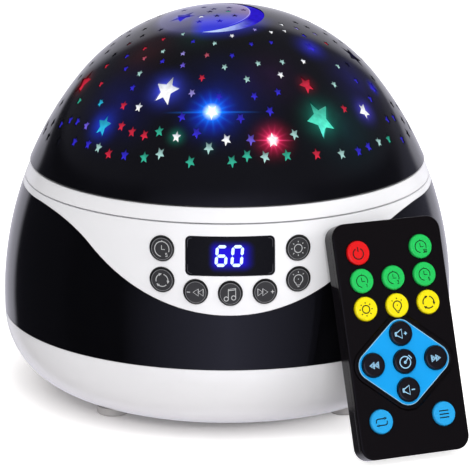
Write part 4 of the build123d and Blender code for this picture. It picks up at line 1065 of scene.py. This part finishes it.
# %% Dress the lining
milky = Finish("star_lining")
colour = milky.node("ShaderNodeVertexColor", {"layer_name": "glow"}, {}, "Color")
mottle = milky.noise(620.0, 3.0)
dress(liner, "dome", "star_lining", milky.cover({
    "Base Color": milky.blend(mottle, tint(20, 20, 28), tint(30, 30, 40)), "Roughness": 0.5,
    "Specular IOR Level": 0.0, "Emission Color": (mottle * 0.9 + 0.55).times(colour),
    "Emission Strength": 1.0}), "star_liner")
print("lining dressed")

# %% [markdown]
# ## Icons
# The icons are thin printed lines. Each is drawn flat, in millimetres around its button's centre,
# as paths, and a bevelled curve turns them into strokes. The mesh of that curve is then pressed
# flat and laid on the button: every point keeps its place in the drawing and takes its depth from
# the surface. Filled marks are closed paths whose stroke is wide enough to fill them.


# %% Paths
def bow(centre_x, centre_y, radius, start, stop, steps=20):
    """An arc in a drawing, angles in degrees."""
    return [(centre_x + radius * math.cos(math.radians(start + (stop - start) * k / steps)),
             centre_y + radius * math.sin(math.radians(start + (stop - start) * k / steps)))
            for k in range(steps + 1)]


def digit_path(figure, x, y, height):
    """Plain figures as one stroke."""
    width = 0.55 * height
    shapes = {
        "0": [(0, 0), (1, 0), (1, 1), (0, 1), (0, 0)],
        "1": [(0.2, 0.8), (0.6, 1), (0.6, 0)],
        "3": [(0, 1), (1, 1), (0.4, 0.55), (1, 0.5), (1, 0), (0, 0)],
        "5": [(1, 1), (0.1, 1), (0.1, 0.55), (1, 0.55), (1, 0), (0, 0)],
    }
    return [(x + a * width, y + b * height) for a, b in shapes[figure]]


def arrow(x, y, angle, size=0.42):
    """A small filled arrowhead that points along an angle."""
    tip = [(size, 0), (-0.6 * size, 0.75 * size), (-0.6 * size, -0.75 * size), (size, 0), (0, 0)]
    c, s = math.cos(math.radians(angle)), math.sin(math.radians(angle))
    return [(x + a * c - b * s, y + a * s + b * c) for a, b in tip]


def clock(figure, radius=1.75, size=0.85):
    """A clock face that is open at its lower right, where the hours stand."""
    marks = [bow(0, 0, radius, -20, 262, 34), [(-0.1, 1.05), (-0.1, -0.1), (0.85, -0.1)],
             [(0, radius), (0, radius + 0.35)]]
    x = 1.5 - 0.45 * len(figure)
    for k, mark in enumerate(figure):
        marks.append(digit_path(mark, x + 0.8 * size * k, -0.75 - radius * 0.6, size))
    return marks


print("a clock has", len(clock("5")), "paths")

# %% [markdown]
# Arrows, rays, a loudspeaker and a plus come back in several icons, so each has a function too.
# A filled sign is its own outline, with a smaller one inside where the stroke leaves a gap.


# %% Signs
def triangle(x, size, way):
    """An arrow of a skip sign, pointing left or right."""
    return [(x, size), (x, -size), (x + way * 1.5 * size, 0), (x, size), (x, 0)]


def solid_triangle(x, size, way):
    """A filled arrow: its outline and a smaller one inside."""
    return [triangle(x, size, way), triangle(x + way * 0.25 * size, 0.5 * size, way)]


def rays_around(radius, length, angles):
    return [[(radius * math.cos(math.radians(a)), radius * math.sin(math.radians(a))),
             ((radius + length) * math.cos(math.radians(a)), (radius + length) * math.sin(math.radians(a)))]
            for a in angles]


def loudspeaker(x):
    """A cone with its magnet on the left, filled by a stroke."""
    cone = [(x, 0.5), (x, -0.5), (x + 0.7, -0.5), (x + 2.1, -1.35), (x + 2.1, 1.35), (x + 0.7, 0.5), (x, 0.5)]
    return [cone, [(x + 0.35, 0.4), (x + 0.35, -0.4)]]


def plus(x, arm):
    return [[(x - arm, 0), (x + arm, 0)], [(x, -arm), (x, arm)]]


print("a loudspeaker has", len(loudspeaker(0)), "paths")

# %% [markdown]
# With these helpers each icon is a short list of paths. The circling arrows are three arcs with an
# arrowhead where each ends, and the bulb is an arc that runs on into its neck.

# %% The icons
ARROW_SWEEP = 86
turn_arrows = []
for start in (75, -45, 195):
    turn_arrows.append(bow(0, 0, 1.75, start, start - ARROW_SWEEP))
    turn_arrows.append(arrow(*turn_arrows[-1][-1], start - ARROW_SWEEP - 90))
bulb = [bow(0, 0.1, 1.3, -52, 232, 24) + [(-0.45, -1.55), (0.45, -1.55), (0.8, -0.92)],
        [(-0.3, -2.0), (0.3, -2.0)], [(0, 0.0), (0.01, 0.3)]]
bulb += [[(x, y + 0.1) for x, y in ray] for ray in rays_around(1.85, 0.4, (45, 90, 135))]
sun = [bow(0, 0, 1.15, 0, 360, 26)] + rays_around(1.7, 0.4, range(0, 360, 45))
ICONS = {
    "timer": clock("5", 2.1, 0.9),
    "turn": turn_arrows,
    "previous": [[(-2.6, 0), (-1.6, 0)], triangle(0.75, 1.0, -1), triangle(2.2, 1.0, -1)],
    "next": plus(2.2, 0.5) + [triangle(-2.1, 1.0, 1), triangle(-0.65, 1.0, 1)],
    "notes": [bow(-1.2, -1.45, 0.62, 0, 360, 14), bow(0.95, -1.15, 0.62, 0, 360, 14),
              [(-0.6, -1.45), (-0.6, 1.3), (1.55, 1.6), (1.55, -1.15)], [(-0.6, 0.95), (1.55, 1.2)]],
    "sun": sun,
    "bulb": bulb,
    "power": [bow(0, -0.15, 1.6, 118, 422, 28), [(0, 0.4), (0, 1.8)]],
    "30": clock("30"), "1": clock("1"), "3": clock("3"), "5": clock("5"),
    "louder": loudspeaker(-1.95) + plus(1.3, 0.5),
    "quieter": loudspeaker(-1.95) + [[(0.75, 0), (1.85, 0)]],
    "back": solid_triangle(0.1, 0.95, -1) + solid_triangle(1.5, 0.95, -1),
    "forward": solid_triangle(-1.5, 0.95, 1) + solid_triangle(-0.1, 0.95, 1),
    "play": [bow(0, -0.15, 1.7, 0, 360, 30), [(0, -0.15), (1.25, 1.25)], bow(0, -0.15, 0.3, 0, 360, 10),
             bow(0, -0.15, 2.3, 22, 58, 8)],
    "repeat": [[(-1.75, -0.2), (-1.6, 0.7), (-1.1, 0.95), (1.0, 0.95)], arrow(1.2, 0.95, 0, 0.4),
               [(1.75, 0.2), (1.6, -0.7), (1.1, -0.95), (-1.0, -0.95)], arrow(-1.2, -0.95, 180, 0.4)],
    "order": [[(-1.5, y), (1.5, y)] for y in (1.0, 0.0, -1.0)],
}
print("icons drawn:", len(ICONS))

# %% [markdown]
# A bevelled curve has round strokes. Once it has become a mesh, its height is squeezed to that of
# a print, and a function of the place in the drawing lays it on the button, the key or the lens.


# %% Strokes
def strokes(name, paths, width, lay, height=0.03):
    """Strokes of one drawing, laid on a surface by a function of place and height."""
    drawing = bpy.data.curves.new(name, "CURVE")
    drawing.dimensions = "3D"
    drawing.bevel_depth = width * MM / 2
    drawing.bevel_resolution = 1
    drawing.use_fill_caps = True
    for path_points in paths:
        line = drawing.splines.new("POLY")
        line.points.add(len(path_points) - 1)
        for point, (x, y) in zip(line.points, path_points):
            point.co = (x * MM, y * MM, 0, 1)
    holder = bpy.data.objects.new(name, drawing)
    scene.collection.objects.link(holder)
    bpy.context.view_layer.update()
    mesh = bpy.data.meshes.new_from_object(holder.evaluated_get(bpy.context.evaluated_depsgraph_get()))
    bpy.data.objects.remove(holder)
    squeeze = height / (width / 2)
    for vert in mesh.vertices:
        vert.co = lay(vert.co.x, vert.co.y, vert.co.z * squeeze)
    piece = bpy.data.objects.new(name, mesh)
    scene.collection.objects.link(piece)
    return piece


def print_or_highlight(name, colour, gloss, level=0.3):
    """The finish of a print or a painted highlight: its edge is too fine to round, and it has no peel."""
    return moulded(name, tint(*colour), gloss, level=level, edge=0.02, peel=0.0)


print("ready to print")

# %% [markdown]
# ## The front buttons
# Each cap follows the curved panel and stands a little proud of it. Its face is dark grey, and its
# rounded edge is painted black as painted shade. All seven caps share one finish: how near a point
# is to the nearest button's centre, seen from the front, tells the face from the edge.

# %% Caps of the buttons
CAP_EDGE_R, CAP_EDGE = 3.12 * MM, 0.1 * MM
BUTTONS = {
    "timer_button": "timer", "rotation_button": "turn", "previous_button": "previous",
    "music_button": "notes", "next_button": "next", "warm_light_button": "sun", "colour_button": "bulb",
}


def middle_of(node_name):
    low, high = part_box(node_name)
    return (low + high) / 2


cap = Finish("button_cap")
from_front = cap.place().vectors("MULTIPLY", (1, 0, 1))
off_caps = []
for node_name in BUTTONS:
    centre = middle_of(node_name)
    off_caps.append(from_front.distance((centre.x, 0, centre.z)))
nearest = off_caps[0]
for off_cap in off_caps[1:]:
    nearest = nearest.maths("MINIMUM", off_cap)
cloud = cap.noise(300.0)
face_grey = cap.blend(cloud, tint(50, 50, 51), tint(58, 58, 60))
# the black beyond the face is painted shade on the caps' rounded edges
finishes["button_dark"] = cap.cover({
    "Base Color": cap.blend(nearest.grows(CAP_EDGE_R, CAP_EDGE_R + CAP_EDGE), face_grey, tint(14, 14, 15)),
    "Roughness": cloud * 0.1 + 0.38, "Specular IOR Level": 0.25,
    "Normal": cap.skin(cap.noise(PEEL_SCALE), 0.08, PEEL_DEPTH)})
print("caps:", len(off_caps))

# %% [markdown]
# A fine raised ring near the cap's edge is a painted highlight in paler grey, and the icon is
# printed in pale grey. Both are laid on the panel's own surface, and both ride with the button.

# %% Icons and rings of the buttons
BUTTON_PROUD = 0.6 * MM
LIFT = 0.01 * MM
ICON_STROKE = 0.23
RING_R, RING_STROKE, RING_HEIGHT = 3.0, 0.2, 0.07
icon_pale = print_or_highlight("icon_pale", (205, 206, 208), 0.45)
# painted highlight: the ring's paler grey stands for the light on the cap's edge
ring_painted_highlight = print_or_highlight("ring_painted_highlight", (120, 120, 122), 0.3, level=0.6)


def on_flank(x, z, proud):
    """A point on the turned surface, seen from the front."""
    return Vector((x, -math.sqrt(flank_radius(z, proud) ** 2 - x * x), z))


for node_name, icon in BUTTONS.items():
    centre = middle_of(node_name)

    def on_button(x, y, out, centre=centre):
        return on_flank(centre.x + x, centre.z + y, BUTTON_PROUD + LIFT + out)

    mark = strokes(node_name + "_icon", ICONS[icon], ICON_STROKE, on_button)
    dress(mark, node_name, "button_dark", icon_pale)
    ring = strokes(node_name + "_ring", [bow(0, 0, RING_R, 0, 360, 48)], RING_STROKE, on_button, RING_HEIGHT)
    dress(ring, node_name, "button_dark", ring_painted_highlight)
print("buttons marked:", len(BUTTONS))

# %% [markdown]
# ## The display
# A smoked lens hides two seven-segment figures. Each segment is a hexagon with pointed ends, so
# that neighbours meet in a fine slanted gap, and the figures lean to the right. The segments are
# drawn in millimetres, between the corners and the two middles of a figure.

# %% Segments
DIGIT_H, DIGIT_W = 5.2, 2.75
SEGMENT_W, SEGMENT_GAP = 0.88, 0.13
LEAN = 0.09
half_h, half_w = DIGIT_H / 2, DIGIT_W / 2
SEGMENTS = {
    "a": ((-half_w, half_h), (half_w, half_h)), "b": ((half_w, half_h), (half_w, 0)),
    "c": ((half_w, 0), (half_w, -half_h)), "d": ((-half_w, -half_h), (half_w, -half_h)),
    "e": ((-half_w, 0), (-half_w, -half_h)), "f": ((-half_w, half_h), (-half_w, 0)),
    "g": ((-half_w, 0), (half_w, 0)),
}


def segment(bm, start, stop, shift):
    """One bar with pointed ends between two corners of the figure."""
    start, stop = Vector((*start, 0)), Vector((*stop, 0))
    middle, along = (start + stop) / 2, (stop - start).normalized()
    across = Vector((-along.y, along.x, 0)) * SEGMENT_W / 2
    tip = along * ((stop - start).length / 2 - SEGMENT_GAP)
    shoulder = tip - along * SEGMENT_W / 2
    outline = (tip, shoulder + across, across - shoulder, -tip, -across - shoulder, shoulder - across)
    corners = [middle + point for point in outline]
    bm.faces.new([bm.verts.new(Vector((p.x + shift + LEAN * p.y, p.y, 0)) * MM) for p in corners])


print("segments:", len(SEGMENTS))

# %% [markdown]
# Both figures are one flat mesh. It is divided once, so that it can follow the curve of the lens,
# and laid just over it. The light is a pale blue that a fine noise keeps uneven.

# %% Figures of the display
WINDOW_RECESS = 0.15 * MM
WINDOW_LIFT, FIGURE_LIFT = 0.02 * MM, 0.02 * MM
DISPLAY_X, DISPLAY_UP = -0.25 * MM, 0.15 * MM
DIGIT_PITCH = 4.6
FIGURES = {"6": "acdefg", "0": "abcdef"}
window_mid = middle_of("display_window")


def on_window(x, y, out):
    return on_flank(window_mid.x + x, window_mid.z + y, out + WINDOW_LIFT - WINDOW_RECESS)


figures = bmesh.new()
for k, figure in enumerate("60"):
    for letter in FIGURES[figure]:
        segment(figures, *SEGMENTS[letter], (k - 0.5) * DIGIT_PITCH)
bmesh.ops.subdivide_edges(figures, edges=figures.edges, cuts=1)
for vert in figures.verts:
    vert.co = on_window(vert.co.x + DISPLAY_X, vert.co.y + DISPLAY_UP, FIGURE_LIFT)
bmesh.ops.recalc_face_normals(figures, faces=figures.faces)
digits = to_object("display_figures", figures, smooth=False)
lit_blue = Finish("figure_glow")
dress(digits, "housing", "window_black", lit_blue.cover({
    "Base Color": tint(120, 150, 230), "Roughness": 0.4,
    "Emission Color": lit_blue.blend(lit_blue.noise(900.0), tint(190, 222, 255), tint(244, 252, 255)),
    "Emission Strength": 1.0}))
print("display figures:", len(digits.data.polygons), "faces")

# %% [markdown]
# The figures' light spills into the smoked lens around them. The lens has a violet blue emission
# that fades with the distance from a box round the figures, faster on their left than on their
# right.

# %% Lens
FIGURES_HALF_X, FIGURES_HALF_Z = 3.9 * MM, 1.9 * MM
GLOW_REACH, GLOW_FADE = 4.2 * MM, 2.2
LEFT_FADE, HEIGHT_FADE = 1.6, 1.4
lens = Finish("window_lens")
off_middle = lens.place().dot((1, 0, 0)) - DISPLAY_X
off_right = (off_middle - FIGURES_HALF_X).maths("MAXIMUM", 0.0)
off_left = (off_middle * -1 - FIGURES_HALF_X).maths("MAXIMUM", 0.0) * LEFT_FADE
off_height = abs(lens.place().dot((0, 0, 1)) - window_mid.z) - FIGURES_HALF_Z
off_height = off_height.maths("MAXIMUM", 0.0) * HEIGHT_FADE
off_figures = ((off_right + off_left) ** 2 + off_height ** 2) ** 0.5
cloud = lens.noise(500.0)
finishes["window_black"] = lens.cover({
    "Base Color": lens.blend(cloud, tint(9, 9, 11), tint(13, 13, 15)), "Roughness": cloud * 0.03 + 0.06,
    "Specular IOR Level": 0.14, "Emission Strength": 1.0,
    "Emission Color": (off_figures.fades(GLOW_REACH) ** GLOW_FADE).times(tint(26, 0, 226))})
print("light reaches", round(GLOW_REACH / MM, 1), "mm past the figures")

# %% [markdown]
# A grey line near the window's edge is a painted highlight of the lens's rounded edge: a rounded
# frame of four quarter bows.

# %% Border of the window
BORDER_INSET, BORDER_CORNER, BORDER_STROKE = 0.55, 1.0, 0.16
window_low, window_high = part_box("display_window")
half_x, half_z = [(high - low) / 2 / MM - BORDER_INSET - BORDER_CORNER
                  for low, high in zip(window_low.xz, window_high.xz)]
frame_path = []
for k, (way_x, way_z) in enumerate(((1, 1), (-1, 1), (-1, -1), (1, -1))):
    frame_path += bow(way_x * half_x, way_z * half_z, BORDER_CORNER, 90 * k, 90 * k + 90, 6)
border = strokes("window_border", [frame_path + frame_path[:1]], BORDER_STROKE, on_window)
dress(border, "housing", "window_black", print_or_highlight("border_painted_highlight", (74, 74, 78), 0.2, level=0.6))
print("border:", len(frame_path), "points")

# %% [markdown]
# ## The remote control
# The remote leans on the body, so its drawings are made in its own plane: side, up and face are
# read from the joint of its battery cap, which turns about the axis that the face looks along.

# %% Remote plane
CAP_UP = 40.0 * MM
CAP_DEEP = 0.45 * MM
REMOTE_T = 6.5 * MM
cap_joint = next(joint for joint in frame["joints"] if joint["name"] == "battery_cap_turn")
face_axis = Vector(cap_joint["axis"]).normalized()
side_axis = Vector((-face_axis.y, face_axis.x, 0)).normalized()
up_axis = face_axis.cross(side_axis)
remote_origin = Vector(cap_joint["pos_m"]) - up_axis * CAP_UP - face_axis * CAP_DEEP


def on_remote(x, y, out):
    return remote_origin + side_axis * x + up_axis * y + face_axis * (REMOTE_T + out)


def key_centre(key_name):
    """Where a key's middle lies across and up the remote."""
    offset = middle_of(key_name) - remote_origin
    return offset.dot(side_axis), offset.dot(up_axis)


print("remote leans back by", round(math.degrees(math.asin(face_axis.z)), 1), "degrees")

# %% [markdown]
# The keys carry dark icons, or pale blue ones where the key is black. Each is laid on its key
# just as the buttons' icons are, and each travels with its key.

# %% Icons of the keys
KEYS = {
    "key_power": "power", "key_timer_30": "30", "key_timer_1": "1", "key_timer_3": "3", "key_timer_5": "5",
    "key_warm_light": "sun", "key_colour_light": "bulb", "key_rotation": "turn", "key_volume_up": "louder",
    "key_previous": "back", "key_play": "play", "key_next": "forward", "key_volume_down": "quieter",
    "key_repeat": "repeat", "key_order": "order",
}
KEY_PROUD = 0.9 * MM
CLOCK_STROKE, KEY_STROKE = 0.25, 0.34
icon_dark = print_or_highlight("icon_dark", (20, 34, 26), 0.4)
icon_sky = print_or_highlight("icon_sky", (160, 212, 244), 0.4)
slots = {part["node"]: part["material_slot"] for part in frame["record"]["subparts"]}
for key_name, icon in KEYS.items():
    key_x, key_y = key_centre(key_name)

    def on_key(x, y, out, key_x=key_x, key_y=key_y):
        return on_remote(key_x + x, key_y + y, KEY_PROUD + LIFT + out)

    stroke = CLOCK_STROKE if "timer" in key_name else KEY_STROKE
    mark = strokes(key_name + "_icon", ICONS[icon], stroke, on_key)
    dress(mark, key_name, slots[key_name], icon_sky if slots[key_name] == "key_black" else icon_dark)
print("keys marked:", len(KEYS))

# %% [markdown]
# A black printed band covers the inlay's outer edge, and a pale line runs where the band ends.
# Both follow one closed path, an arc round each of the four outer black keys, at two margins.

# %% Line round the inlay
KEY_R = 3.55
BLUE_MARGIN, BAND_MARGIN = 0.75, 2.5
LINE_STROKE, LINE_HEIGHT = 0.24, 0.05


def round_the_keys(margin):
    """A closed path that passes the four outer keys at a margin from their edges."""
    path_points = []
    for k, key_name in enumerate(("key_next", "key_volume_up", "key_previous", "key_volume_down")):
        key_x, key_y = key_centre(key_name)
        path_points += bow(key_x / MM, key_y / MM, KEY_R + margin, 90 * k - 45, 90 * k + 45, 10)
    return [path_points + path_points[:1]]


band = strokes("inlay_band", round_the_keys((BLUE_MARGIN + BAND_MARGIN) / 2), BAND_MARGIN - BLUE_MARGIN,
               on_remote)
dress(band, "remote", "remote_black", finishes["remote_black"])
inlay_line = strokes("inlay_line", round_the_keys(BLUE_MARGIN), LINE_STROKE, on_remote, LINE_HEIGHT)
dress(inlay_line, "remote", "inlay_blue", print_or_highlight("line_pale", (150, 205, 238), 0.4))
print("inlay outlined")

# %% [markdown]
# ## Finish the carried-over pieces
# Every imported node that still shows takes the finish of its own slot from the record. The shell
# and the lining have pieces of their own by now, so their two slots have no finish here.

# %% Assign finishes
finished = [node_name for node_name, slot in slots.items() if slot in finishes]
for node_name in finished:
    holder = nodes[node_name].data.materials
    holder.clear()
    holder.append(finishes[slots[node_name]])
print("finished nodes:", len(finished), "of", len(slots))
